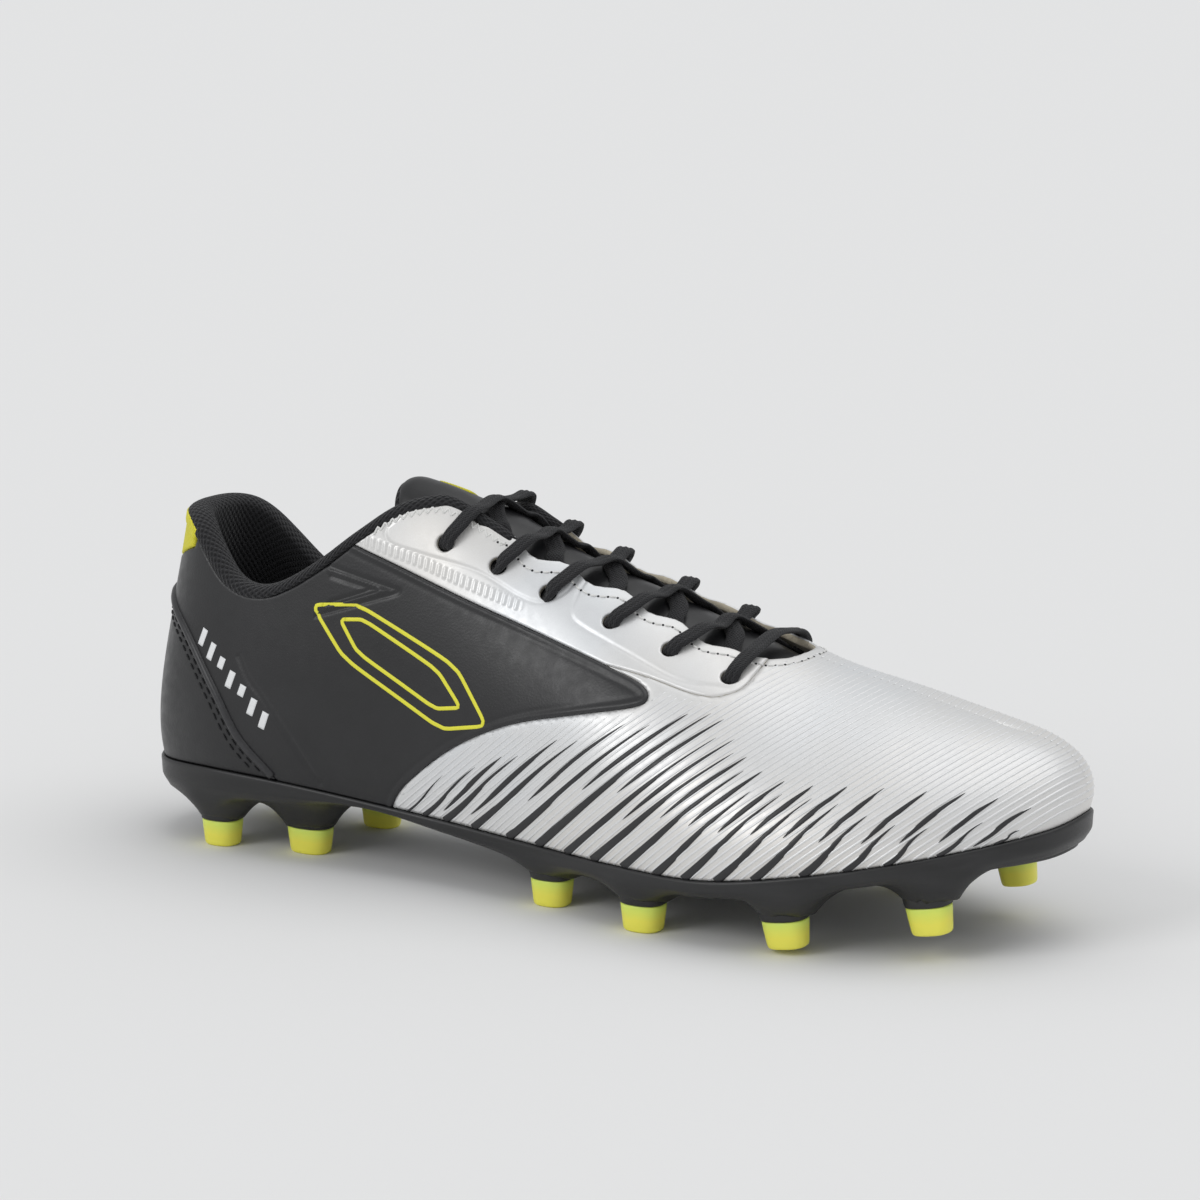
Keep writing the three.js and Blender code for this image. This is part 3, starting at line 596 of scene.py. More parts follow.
def panel(name, s_values, t_values, fields, looks, relief=None, thickness=SKIN, lift=0.0, roll=0.7,
          side=LATERAL, base=None):
    """Panel of the upper: a piece of the wall inside every field, with rolled edges and a relief in mm."""
    position = lambda params: wall(side, params[:, 0], params[:, 1])
    params, tris = grid_sheet(s_values, t_values)
    for field in fields:
        params, tris = cut(params, tris, position, field)
    first, tris = weld(position(params), tris)
    params = params[first]
    tris = largest_part(len(params), tris)
    params, tris = tidy_sheet(params, tris)
    s, t = params.T
    surface = position(params)
    edge = np.minimum.reduce([field(surface) for field in fields])
    curl = roll * (1 - np.sqrt(1 - (1 - np.clip(edge / roll, 0, 1)) ** 2))
    level = 0 if base is None else base(s, t)
    depth = level - lift + curl
    if relief is not None:
        depth = depth - relief(surface)
    facing = normal(side, s, t)
    outer = surface - facing * depth[:, None]
    inner = surface - facing * np.broadcast_to(level + thickness, s.shape)[:, None]
    a, b, c = (outer[tris[:, k]] for k in range(3))
    if np.sum(np.einsum("ij,ij->i", np.cross(b - a, c - a), facing[tris[:, 0]])) < 0:
        tris = tris[:, ::-1]
    points, faces, slots = thick_sheet(outer, inner, tris)
    slots = np.minimum(slots, len(looks) - 1)
    cloth = np.stack([surface[:, 0] + 0.4 * surface[:, 1], t * 80], -1)
    return make_object(name, points, faces, looks, slots, np.vstack([cloth, cloth]),
                       values={"edge": np.concatenate([edge, edge])})


# ---- materials ----
class Nodes:
    """Short hand for building one material's node tree."""

    def __init__(self, name):
        self.material = bpy.data.materials.new(name)
        self.material.use_nodes = True
        self.nodes, self.links = self.material.node_tree.nodes, self.material.node_tree.links
        self.shader = self.nodes["Principled BSDF"]

    def new(self, kind, **settings):
        node = self.nodes.new(kind)
        for key, value in settings.items():
            setattr(node, key, value)
        return node

    def plug(self, sockets, values):
        """Links each socket to a value that is itself a socket, or sets it. Colours need no alpha."""
        for socket, value in zip(sockets, values):
            if isinstance(value, bpy.types.NodeSocket):
                self.links.new(value, socket)
            elif socket.type == "RGBA":
                socket.default_value = (*value[:3], 1)
            else:
                socket.default_value = value

    def feed(self, node, **inputs):
        """Plugs sockets by name, with underscores for spaces."""
        self.plug([node.inputs[key.replace("_", " ")] for key in inputs], inputs.values())
        return node

    def place(self, scale=1.0):
        """Object coordinates in millimetres, times scale."""
        where = self.new("ShaderNodeTexCoord").outputs["Object"]
        return self.vector("MULTIPLY", where, (1000 * scale,) * 3)

    def cloth(self, scale=(1, 1, 1)):
        where = self.new("ShaderNodeAttribute", attribute_name="cloth").outputs["Vector"]
        return self.vector("MULTIPLY", where, scale)

    def value(self, key):
        return self.new("ShaderNodeAttribute", attribute_name=key).outputs["Fac"]

    def vector(self, operation, a, b):
        node = self.new("ShaderNodeVectorMath", operation=operation)
        self.plug(node.inputs, (a, b))
        return node.outputs[0]

    def math(self, operation, a, b=0.0):
        node = self.new("ShaderNodeMath", operation=operation)
        self.plug(node.inputs, (a, b))
        return node.outputs[0]

    def times(self, a, b):
        return self.math("MULTIPLY", a, b)

    def sine(self, a, pitch):
        return self.math("SINE", self.times(a, pitch))

    def axis(self, socket, which):
        node = self.new("ShaderNodeSeparateXYZ")
        self.links.new(socket, node.inputs[0])
        return node.outputs[which]

    def noise(self, where, scale, detail=3.0, roughness=0.5):
        node = self.new("ShaderNodeTexNoise")
        self.feed(node, Vector=where, Scale=scale, Detail=detail, Roughness=roughness)
        return node.outputs["Fac"]

    def cells(self, where, scale, randomness=1.0, flat=False):
        node = self.new("ShaderNodeTexVoronoi", voronoi_dimensions="2D" if flat else "3D")
        self.feed(node, Vector=where, Scale=scale, Randomness=randomness)
        return node.outputs["Distance"]

    def spread(self, factor, low, high, start=0.0, end=1.0):
        node = self.new("ShaderNodeMapRange", clamp=True)
        self.feed(node, Value=factor, From_Min=start, From_Max=end, To_Min=low, To_Max=high)
        return node.outputs["Result"]

    def mix(self, factor, a, b):
        node = self.new("ShaderNodeMix", data_type="RGBA")
        self.plug([node.inputs[k] for k in (0, 6, 7)], (factor, a, b))
        return node.outputs[2]

    def bump(self, height, strength, distance, below=None):
        """Bump of a height in millimetre steps."""
        node = self.new("ShaderNodeBump")
        self.feed(node, Height=height, Strength=strength, Distance=distance / 1000)
        if below is not None:
            self.links.new(below, node.inputs["Normal"])
        return node.outputs["Normal"]

    def finish(self, color, roughness, normal=None, **constants):
        self.feed(self.shader, Base_Color=color, Roughness=roughness, **constants)
        if normal is not None:
            self.links.new(normal, self.shader.inputs["Normal"])
        return self.material


def black_skin():
    """Satin coated synthetic: fine pebble grain, slightly worn and lighter along its edges."""
    n = Nodes("black_synthetic")
    where = n.place()
    grain = n.cells(where, 1.5)
    cloud = n.noise(where, 0.05, 4)
    tone = n.mix(n.spread(cloud, 0, 1, 0.3, 0.7), (0.007, 0.007, 0.008), (0.012, 0.012, 0.0135))
    worn = n.times(n.spread(n.value("edge"), 0.5, 0, 0.1, 1.2), n.noise(where, 0.7, 5))
    tone = n.mix(worn, tone, (0.055, 0.055, 0.06))
    rough = n.spread(n.noise(where, 0.35, 5), 0.34, 0.46, 0.3, 0.7)
    bump = n.bump(grain, 0.35, 0.06)
    bump = n.bump(n.noise(where, 4, 3), 0.25, 0.04, bump)
    return n.finish(tone, rough, bump, Specular_IOR_Level=0.5, Coat_Weight=0.1, Coat_Roughness=0.35)


def silver_skin():
    """Pearlescent silver-white coated synthetic with fine flake and a faint shift from cool to warm."""
    n = Nodes("silver_synthetic")
    where = n.place()
    cloud = n.noise(where, 0.018, 3)
    tone = n.mix(n.spread(cloud, 0, 1, 0.35, 0.65), (0.70, 0.715, 0.73), (0.73, 0.71, 0.68))
    flake = n.spread(n.noise(where, 3.2, 2), 0, 1, 0.35, 0.65)
    tone = n.mix(n.times(flake, 0.16), tone, (0.87, 0.88, 0.9))
    rough = n.spread(n.noise(where, 0.5, 4), 0.32, 0.44, 0.3, 0.7)
    bump = n.bump(n.noise(where, 2.4, 4), 0.18, 0.05)
    return n.finish(tone, rough, bump, Metallic=0.32, Specular_IOR_Level=0.6, Sheen_Weight=0.08,
                    Coat_Weight=0.2, Coat_Roughness=0.3)


def rib_skin():
    """The same silver synthetic on the raised ribs, its colour painted a little brighter than the panel's
    as a painted highlight where they catch the light.
    """
    n = Nodes("silver_ribs")
    where = n.place()
    flake = n.spread(n.noise(where, 3.2, 2), 0, 0.2, 0.35, 0.65)
    # painted highlight: the ribs' colour is lighter than the panel's, standing in for light caught on their
    # crests
    silver = n.mix(flake, (0.76, 0.765, 0.77), (0.9, 0.9, 0.9))
    rough = n.spread(n.noise(where, 0.5, 4), 0.3, 0.42, 0.3, 0.7)
    bump = n.bump(n.noise(where, 2.4, 3), 0.15, 0.04)
    return n.finish(silver, rough, bump, Metallic=0.3, Specular_IOR_Level=0.6)


def print_ink(name, color, roughness=0.4):
    """Thick screen print: slightly uneven, with pinhole grain."""
    n = Nodes(name)
    where = n.place()
    worn = n.spread(n.noise(where, 1.6, 6, 0.6), 0, 0.22, 0.45, 0.75)
    dim = tuple(c * 0.72 for c in color)
    tone = n.mix(worn, color, dim)
    rough = n.spread(n.noise(where, 0.8, 4), roughness - 0.06, roughness + 0.1, 0.3, 0.7)
    return n.finish(tone, rough, n.bump(n.noise(where, 3.5, 3), 0.2, 0.03), Specular_IOR_Level=0.5)


def black_plastic():
    """Satin moulded plate: very fine spark texture, flow marks and small scuffs."""
    n = Nodes("black_tpu")
    where = n.place()
    spark = n.noise(where, 2.8, 4, 0.6)
    flow = n.noise(n.vector("MULTIPLY", where, (0.03, 0.09, 0.2)), 1.0, 4)
    tone = n.mix(n.spread(flow, 0, 1, 0.35, 0.7), (0.011, 0.011, 0.0115), (0.02, 0.02, 0.021))
    marks = n.noise(n.vector("MULTIPLY", where, (0.25, 0.25, 1.4)), 1.0, 6, 0.7)
    scuff = n.spread(marks, 0, 0.35, 0.62, 0.75)
    tone = n.mix(scuff, tone, (0.04, 0.04, 0.042))
    rough = n.spread(spark, 0.32, 0.48, 0.35, 0.65)
    return n.finish(tone, rough, n.bump(spark, 0.3, 0.05), Specular_IOR_Level=0.5)


def stud_plastic():
    """Two-shot stud tip: yellow, greener towards the black plate, faintly translucent."""
    n = Nodes("yellow_tpu")
    where = n.place()
    rise = n.math("ADD", n.value("rise"), n.spread(n.noise(where, 0.25, 2), -0.12, 0.12))
    tone = n.mix(n.spread(rise, 0, 1, 0.45, 1.05), (0.9, 0.85, 0.11), (0.68, 0.85, 0.15))
    dirt = n.spread(n.noise(where, 0.9, 6, 0.65), 0, 0.3, 0.56, 0.72)
    low = n.spread(n.value("rise"), 1, 0, 0.0, 0.25)
    tone = n.mix(n.times(dirt, low), tone, (0.4, 0.36, 0.12))
    rough = n.spread(n.noise(where, 1.2, 4), 0.3, 0.46, 0.3, 0.7)
    return n.finish(tone, rough, n.bump(n.noise(where, 2.5, 3), 0.2, 0.04), Specular_IOR_Level=0.5,
                    Subsurface_Weight=0.12, Subsurface_Scale=0.002, Subsurface_Radius=(1.0, 0.9, 0.3))


def knit(name, dark, light, pitch=1.55):
    """Spacer mesh: staggered open cells between rounded yarns."""
    n = Nodes(name)
    turned = n.new("ShaderNodeVectorRotate", rotation_type="Z_AXIS")
    n.feed(turned, Vector=n.cloth((1 / pitch, 1.25 / pitch, 0)), Angle=math.radians(45))
    cell = n.cells(turned.outputs["Vector"], 1.0, 0.0, flat=True)
    yarn = n.spread(cell, 0, 1, 0.2, 0.5)
    fuzz = n.noise(n.place(), 3.0, 4, 0.6)
    tone = n.mix(yarn, dark, light)
    tone = n.mix(n.times(fuzz, 0.35), tone, tuple(min(1, c * 2.2 + 0.01) for c in light))
    bump = n.bump(yarn, 0.9, 0.45)
    bump = n.bump(fuzz, 0.4, 0.12, bump)
    return n.finish(tone, n.spread(fuzz, 0.8, 0.97), bump, Specular_IOR_Level=0.25,
                    Sheen_Weight=0.12, Sheen_Roughness=0.5)


def brushed_textile(name, color):
    """Short-napped lining with a plain weave under it."""
    n = Nodes(name)
    where = n.place()
    weave = n.times(n.sine(n.axis(n.cloth(), 0), 9.0), n.sine(n.axis(n.cloth(), 1), 9.0))
    nap = n.noise(where, 1.8, 6, 0.7)
    tone = n.mix(n.spread(nap, 0, 1, 0.3, 0.7), tuple(c * 0.78 for c in color), color)
    bump = n.bump(nap, 0.6, 0.2, n.bump(weave, 0.5, 0.12))
    return n.finish(tone, 0.92, bump, Specular_IOR_Level=0.2, Sheen_Weight=0.25)


def twill(name, dark, light, pitch=0.9, rough=0.75):
    """Woven tape: diagonal twill lines across fine threads."""
    n = Nodes(name)
    u, v = (n.axis(n.cloth((1 / pitch, 1 / pitch, 0)), k) for k in (0, 1))
    lines = n.sine(n.math("ADD", u, v), 6.283)
    threads = n.sine(n.math("SUBTRACT", u, v), 18.85)
    height = n.math("ADD", n.times(lines, 0.7), n.times(threads, 0.3))
    tone = n.mix(n.spread(height, 0, 1, -0.8, 0.8), dark, light)
    tone = n.mix(n.times(n.noise(n.place(), 1.5, 5), 0.2), tone, dark)
    return n.finish(tone, rough, n.bump(height, 0.55, 0.14), Specular_IOR_Level=0.3, Sheen_Weight=0.1)


def lace_weave():
    """Flat braid: crossed yarns on the ribs, lighter fuzz on top."""
    n = Nodes("black_lace")
    u, v = (n.axis(n.cloth(), k) for k in (0, 1))
    braid = n.math("MAXIMUM", n.sine(n.math("ADD", u, v), 5.2), n.sine(n.math("SUBTRACT", u, v), 5.2))
    fuzz = n.noise(n.place(), 3.5, 5, 0.65)
    tone = n.mix(n.spread(braid, 0, 1, -0.3, 1.0), (0.005, 0.005, 0.006), (0.017, 0.017, 0.019))
    tone = n.mix(n.times(fuzz, 0.3), tone, (0.035, 0.036, 0.04))
    bump = n.bump(fuzz, 0.35, 0.1, n.bump(braid, 0.7, 0.2))
    return n.finish(tone, n.spread(fuzz, 0.68, 0.9), bump, Specular_IOR_Level=0.3, Sheen_Weight=0.1)


def thread(name, color):
    n = Nodes(name)
    twist = n.sine(n.math("ADD", n.axis(n.cloth(), 0), n.axis(n.cloth(), 1)), 14.0)
    tone = n.mix(n.spread(twist, 0, 1, -1, 1), tuple(c * 0.8 for c in color), color)
    return n.finish(tone, 0.65, n.bump(twist, 0.35, 0.05), Specular_IOR_Level=0.35)


def board_fibre(name, color):
    """Pressed fibre sheet: flecked, matt."""
    n = Nodes(name)
    where = n.place()
    fibre = n.noise(n.vector("MULTIPLY", where, (0.4, 1.6, 1.0)), 1.0, 6, 0.7)
    tone = n.mix(n.spread(fibre, 0, 1, 0.35, 0.65), tuple(c * 0.7 for c in color), color)
    return n.finish(tone, 0.88, n.bump(fibre, 0.5, 0.15), Specular_IOR_Level=0.2)


MATERIALS = {
    "black_skin": black_skin(),
    "silver_skin": silver_skin(),
    "ribs": rib_skin(),
    "black_ink": print_ink("black_print", (0.022, 0.022, 0.024), 0.38),
    "yellow_ink": print_ink("yellow_print", (0.80, 0.77, 0.045), 0.42),
    "white_ink": print_ink("white_print", (0.82, 0.83, 0.84), 0.45),
    "plate": black_plastic(),
    "tips": stud_plastic(),
    "knit": knit("black_knit", (0.0035, 0.0035, 0.004), (0.018, 0.018, 0.02)),
    "cream": brushed_textile("cream_textile", (0.60, 0.54, 0.42)),
    "yellow_tape": twill("yellow_textile", (0.60, 0.55, 0.03), (0.80, 0.75, 0.05)),
    "lace": lace_weave(),
    # black thread of the heel stitches; the same dark material is the painted shade plugged into the
    # throat's needle holes
    "black_thread_and_hole_shade": thread("black_thread_and_hole_shade", (0.02, 0.02, 0.022)),
    "white_thread": thread("white_thread", (0.86, 0.86, 0.84)),
    "board": board_fibre("grey_board", (0.27, 0.27, 0.25)),
    "stiffener": board_fibre("white_stiffener", (0.56, 0.56, 0.53)),
    "liner_top": twill("sockliner_cloth", (0.008, 0.008, 0.009), (0.022, 0.022, 0.024), 1.1, 0.85),
}


# ---- sole ----
def stud_place(stud):
    """Centre of a stud's tip face, its lean and how far up the sole is, as in the CAD source."""
    _, s, share, tip_z, _, _ = stud
    at = lambda x: feather(LATERAL, x)[0] * (1 - share) + feather(MEDIAL, x)[0] * share
    middle, front, back = at(np.array(s)), at(np.array(s + 0.2)), at(np.array(s - 0.2))
    slope = (front[2] - back[2]) / (front[0] - back[0])
    lean = -0.8 * math.atan(slope) if tip_z > 0 else 0.0
    sole = middle[2] - along(BAND, s) - 4 * along(SAG, s) * share * (1 - share)
    return np.array([middle[0], middle[1], tip_z]), lean, sole - tip_z


def stud_ring(centre, lean, half_length, half_width, height, count=40, power=2.5):
    a = 2 * np.pi * np.arange(count) / count
    c, s = np.cos(a), np.sin(a)
    x = half_length * np.sign(c) * np.abs(c) ** (2 / power)
    y = half_width * np.sign(s) * np.abs(s) ** (2 / power)
    turned = np.stack([x * math.cos(lean) + height * math.sin(lean), y,
                       -x * math.sin(lean) + height * math.cos(lean)], -1)
    return turned + centre


def stud_tip(stud):
    name, _, _, _, half_length, half_width = stud
    centre, lean, _ = stud_place(stud)
    # height above the tip face, share of the stud's half length and half width
    profile = [(0, 0.3), (0, 0.62), (0.02, 0.74), (0.12, 0.8), (0.34, 0.845), (0.75, 0.875), (1.6, 0.9),
               (3, 0.925), (5, 0.965), (TIP_HEIGHT - 0.5, 0.995), (TIP_HEIGHT - 0.15, 0.985),
               (TIP_HEIGHT, 0.94)]
    rings = [stud_ring(centre, lean, half_length * k, half_width * k, h) for h, k in profile]
    rise = np.repeat([h / TIP_HEIGHT for h, _ in profile], len(rings[0]))
    made = make_object("tip_" + name, np.vstack(rings), ring_faces(len(rings), len(rings[0])),
                       ["tips"], values={"rise": rise})
    place(made, "yellow_tpu", "stud_tip_" + name)


def flare(points, stud):
    """How far a stud's foot pulls the sole down at each point, in mm."""
    _, _, _, _, half_length, half_width = stud
    centre, _, reach = stud_place(stud)
    tall = reach - TIP_HEIGHT - 0.6
    dx, dy = np.abs(points[..., 0] - centre[0]), np.abs(points[..., 1] - centre[1])
    a, b = half_length + 0.4, half_width + 0.4
    away = (dx / a) ** 2.5 + (dy / b) ** 2.5
    radius = away ** 0.4
    across = dy / np.maximum(np.hypot(dx, dy), 1e-6)
    spread = 12.5 * (1 - across) + 6.5 * across
    beyond = np.clip((radius - 1) * (a * (1 - across) + b * across) / spread, 0, 1)
    return tall * np.where(radius <= 1, 1.0, (1 - beyond) ** 2.6)


def sole_plate():
    """Moulded plate: side band with a soft lip, sagging shank and a flared foot over every stud."""
    s_values = np.unique(np.concatenate([np.linspace(0, LAST, 330), np.linspace(0, 0.6, 14),
                                         np.linspace(LAST - 0.8, LAST, 16)]))
    band, sag = along(BAND, s_values)[:, None], along(SAG, s_values)[:, None]
    (lat, lat_out, _), (med, med_out, _) = feather(LATERAL, s_values), feather(MEDIAL, s_values)
    share = (1 - np.cos(np.pi * np.linspace(0, 1, 64))) / 2
    edge = [(0.0, 0.35), (0.35, 0.1), (0.75, 0.25), (1.0, 0.7), (1.0, 1.2)]
    wall_down = np.linspace(0.12, 0.9, 9)
    rows = []

    def side(point, out):
        ring = [point + out * o - UP * d for o, d in edge]
        for k in wall_down:
            bulge = 0.95 - 0.25 * k - 1.9 * smooth((k - 0.45) / 0.6)
            ring.append(point + out * bulge - UP * (1.0 + (band - 1.2) * k))
        return ring

    lateral, medial = side(lat, lat_out), side(med, med_out)[::-1]
    inner_lat, inner_med = lat - lat_out * 2.2, med - med_out * 2.2
    for q in share[1:-1]:
        middle = inner_lat * (1 - q) + inner_med * q
        curl = 1.1 * (1 - smooth(np.minimum(q, 1 - q) / 0.1))
        drop = band + 0.55 - curl + 4 * sag * q * (1 - q)
        rows.append(middle - UP * drop)
    lip_lat, lip_med = ([foot - out * 1.5 - UP * 2.6, foot - out * 1.4 + UP * 0.2]
                        for foot, out in ((lat, lat_out), (med, med_out)))
    under = np.stack([*lateral, *rows, *medial], 1)
    pull = np.maximum.reduce([flare(under, stud) for stud in STUDS])
    climb = np.concatenate([np.zeros(len(edge)), smooth(wall_down / 0.9)])
    weight = np.concatenate([climb, np.ones(len(rows)), climb[::-1]])
    under[..., 2] -= pull * weight
    outwards = smooth(pull / 4) * 0.5
    under[..., 1] += outwards * np.sign(under[..., 1] - 3) * np.where(weight > 0.05, 1, 0) * (weight < 1)
    rings = np.concatenate([np.stack(lip_lat, 1), under, np.stack(lip_med[::-1], 1)], 1)
    points = rings.reshape(-1, 3)
    first, faces = weld_quads(points, ring_faces(len(s_values), rings.shape[1], capped=False))
    made = make_object("sole_plate", points[first], faces, ["plate"])
    place(made, "black_tpu", "outsole_plate")


def weld_quads(points, faces):
    """The same for faces of any size, which lose the corners that fall together."""
    first, back = same_place(points)
    out = []
    for face in faces:
        ring = []
        for v in face:
            w = int(back[v])
            if not ring or (ring[-1] != w and ring[0] != w):
                ring.append(w)
        if len(ring) > 2:
            out.append(ring)
    return first, out


def stud_collars():
    """The short black collar that grips each yellow tip."""
    parts = Parts()
    for stud in STUDS:
        _, _, _, _, half_length, half_width = stud
        centre, lean, reach = stud_place(stud)
        top = max(reach - 1.5, TIP_HEIGHT + 2.2)
        profile = [(TIP_HEIGHT + 0.05, -0.6), (TIP_HEIGHT + 0.05, -0.1), (TIP_HEIGHT + 0.2, 0.12),
                   (TIP_HEIGHT + 0.7, 0.22), (TIP_HEIGHT + 1.4, 0.4), (top, 0.7)]
        rings = [stud_ring(centre, lean, half_length + k, half_width + k, h) for h, k in profile]
        parts.add(np.vstack(rings), ring_faces(len(rings), len(rings[0])))
    place(parts.build("stud_collars", "plate"), "black_tpu")


def sockliner():
    """Loose insole: cloth top, edge slightly dished up, rounded rim."""
    s_values = np.linspace(0, LAST, 220)
    (lat, lat_out, _), (med, med_out, _) = feather(LATERAL, s_values), feather(MEDIAL, s_values)
    a, b = lat - lat_out * 5.5, med - med_out * 5.5
    profile = [(0.06, 0.35), (0.012, 0.7), (0, 1.5), (0.004, 2.5), (0.02, 3.2)]
    rings, cloth = [], []
    face = [(q, None) for q in np.linspace(0.06, 0.94, 23)]
    for q, h in [*profile, *face, *[(1 - q, h) for q, h in profile[::-1]]]:
        rise = h if h is not None else 3.3 - 0.55 * smooth(np.minimum(q, 1 - q) / 0.3)
        rings.append(a * (1 - q) + b * q + UP * rise)
        cloth.append(np.stack([a[:, 0], np.full(len(a), 80 * q)], -1))
    rings, cloth = np.stack(rings, 1), np.stack(cloth, 1)
    points = rings.reshape(-1, 3)
    first, faces = weld_quads(points, ring_faces(len(s_values), rings.shape[1], capped=False))
    made = make_object("insole_pad", points[first], faces, ["liner_top"],
                       cloth=cloth.reshape(-1, 2)[first])
    place(made, "black_foam", "sockliner", body="sockliner")


# ---- upper panels ----
BINDING_EDGE = 3.0
SEAM_GAP, TAB_GAP = 0.05, 0.1
EYESTAY_LIFT = 0.22


def outside(region, gap=0.0):
    return lambda p: -region(p) - gap


outside_quarter = outside(quarter_region, SEAM_GAP)
outside_eyestay = outside(eyestay_region, SEAM_GAP)
outside_throat = outside(throat_region)
below_collar = outside(collar_region, BINDING_EDGE)
CHEVRON = np.array([(71.0, 83.4), (94.5, 78.2), (70.0, 70.0)])
CHEVRON_INNER = np.array([(74.5, 80.9), (88.0, 78.3), (74.5, 73.4)])
SECOND_HEEL_LINE = curve([(47, 56.5), (50.6, 50.8), (55.7, 45.8), (64.1, 35.8), (72.2, 24.4)])


def quarter_relief(points):
    """Raised lip along the front edge, pressed chevron and a second pressed line near the heel."""
    flat = points[:, (0, 2)]
    band = inside(flat, np.vstack([CHEVRON, CHEVRON_INNER[::-1]]))
    sign = np.where(band, 1, -1)
    outline = np.minimum(to_line(flat, CHEVRON), to_line(flat, CHEVRON_INNER))
    raised = 0.45 * smooth((sign * outline + 0.5) / 1.2)
    lines = -0.45 * (1 - smooth((outline - 0.25) / 0.9))
    close = (to_line(flat, CHEVRON) < 6) & (flat[:, 0] > 70)
    heel = -0.3 * (1 - smooth((to_line(flat, SECOND_HEEL_LINE) - 0.4) / 0.9))
    front = quarter_region(points)
    lip = 0.2 * (1 - smooth((front - 0.8) / 1.2)) - 0.1 * np.exp(-((front - 2.2) / 0.5) ** 2)
    return (raised + lines) * close + heel + lip


def quarters():
    for side, name in SIDES.items():
        fields = [quarter_region, outside(heel_region, SEAM_GAP), outside(tab_field, TAB_GAP), below_collar]
        made = panel("quarter_skin_" + name, np.linspace(0, 8.9, 380), np.linspace(0.0, 1.0, 190), fields,
                     ["black_skin"], quarter_relief, lift=0.25, side=side)
        place(made, "black_synthetic", "quarter_" + name)


def heel_cup():
    """One panel round the back of the heel, under both quarters."""
    made = panel("heel_skin", np.linspace(-4.9, 4.9, 420), np.linspace(0.0, 0.75, 130), [heel_region],
                 ["black_skin"], lift=0.05)
    place(made, "black_synthetic", "heel_panel")


def heel_tab():
    fields = [lambda p: tab_field(p) - TAB_GAP, outside(collar_region, 1.4)]
    over_binding = lambda points: 0.45 * smooth((collar_region(points) + 5.2) / 1.2)
    made = panel("heel_tab_tape", np.linspace(-2.4, 2.4, 170), np.linspace(0.6, 1.0, 90), fields,
                 ["yellow_tape"], over_binding, lift=0.35)
    place(made, "yellow_textile", "heel_tab")


def eyelet_centres(side):
    return wall(side, *np.array(EYELETS).T)


def eyelet_fields(side):
    return [lambda p, c=c: np.linalg.norm(p - c, axis=1) - EYELET_RADIUS for c in eyelet_centres(side)]


# raised fields round the rear and the front eyelets, x z
PANEL_REAR = [(89.3, 94.6), (89.3, 92.4), (92, 90.3), (100.5, 88.5), (115.6, 85.4), (128.7, 79.8),
              (136, 79), (141, 84), (137, 96), (120, 106), (104, 110), (93, 98)]
PANEL_FRONT = [(143.6, 77.4), (146.1, 74.5), (161.3, 69), (176.8, 63.8), (187, 62.8), (193.3, 63.5),
               (196, 74), (178, 90), (150, 96), (144.5, 84)]
RIB_BAND = curve([(81.8, 91.2), (89.4, 89.1), (99.7, 86.4), (109.5, 83.2), (119.5, 80.1), (129.2, 77.3)])


def eyestay_relief(points):
    """Two raised rows round the eyelets with a pressed outline, and short ribs along the quarter."""
    flat = points[:, (0, 2)]
    relief = np.zeros(len(points))
    for outline in (PANEL_REAR, PANEL_FRONT):
        line = curve([*outline, outline[0]])
        away = to_line(flat, line) * np.where(inside(flat, line), 1, -1)
        relief += 0.12 * smooth((away + 0.3) / 0.8) - 0.1 * np.exp(-((away + 0.5) / 0.4) ** 2)
    run = (flat[:, 0] - 82) * 1.04
    band = 1 - smooth((to_line(flat, RIB_BAND) - 1.1) / 0.5)
    reach = smooth((flat[:, 0] - 81) / 2) * (1 - smooth((flat[:, 0] - 128) / 3))
    relief += 0.24 * band * reach * (0.5 + 0.5 * np.cos(2 * np.pi * run / 1.85))
    return relief


def eyestays():
    for side, name in SIDES.items():
        fields = [eyestay_region, outside_quarter, outside_throat, below_collar, *eyelet_fields(side)]
        made = panel("eyestay_skin_" + name, np.linspace(4.5, 10.2, 480), np.linspace(0.55, 1.0, 150),
                     fields, ["silver_skin", "cream", "cream"], eyestay_relief, lift=EYESTAY_LIFT,
                     roll=0.5, side=side)
        place(made, "silver_synthetic", "eyestay_" + name)


def vamp():
    fields = [outside_quarter, outside_eyestay, outside_throat]
    s_values = np.linspace(LAST - 8.9, LAST + 8.9, 501)
    made = panel("vamp_skin", s_values, np.linspace(0.0, 1.0, 101), fields,
                 ["silver_skin", "cream", "cream"], roll=0.3)
    place(made, "silver_synthetic", "vamp")


def vamp_lining():
    lining_throat = Region([*LINING_THROAT, LINING_THROAT[0]], plan=True)
    fields = [outside(lining_throat), lambda p: p[:, 0] - 108]
    s_values = np.linspace(LAST - 8.6, LAST + 8.6, 301)
    made = panel("vamp_lining_cloth", s_values, np.linspace(0.0, 1.0, 61), fields, ["cream"],
                 thickness=LINING, roll=0.2, base=lambda s, t: lining_depth(folded(s)[1], t))
    place(made, "cream_textile", "vamp_lining")


# ---- ribs and flame stripes of the vamp ----
RIB_PITCH = 2.4
# slant levels of the stripes that start at the sole
MAIN_STRIPES = (78.6, 84.1, 91.3, 101.4, 114, 124.4, 134.8, 144.2, 154.4, 165, 173.5, 182, 190.2, 199.9,
                207.7, 214.4, 222.4, 230)
SLANT_S = np.linspace(4.3, LAST, 600)
SLANT_T = np.linspace(0, 1, 161)


def slant(side, points):
    """Level that stays constant along each rib: the ribs lie in parallel planes leaning towards the toe."""
    across = points[..., 1] if side == LATERAL else 9 - points[..., 1]
    return points[..., 0] - 0.093 * across - 1.194 * points[..., 2]


SLANTS = {side: slant(side, wall(side, SLANT_S[:, None], SLANT_T[None])) for side in SIDES}


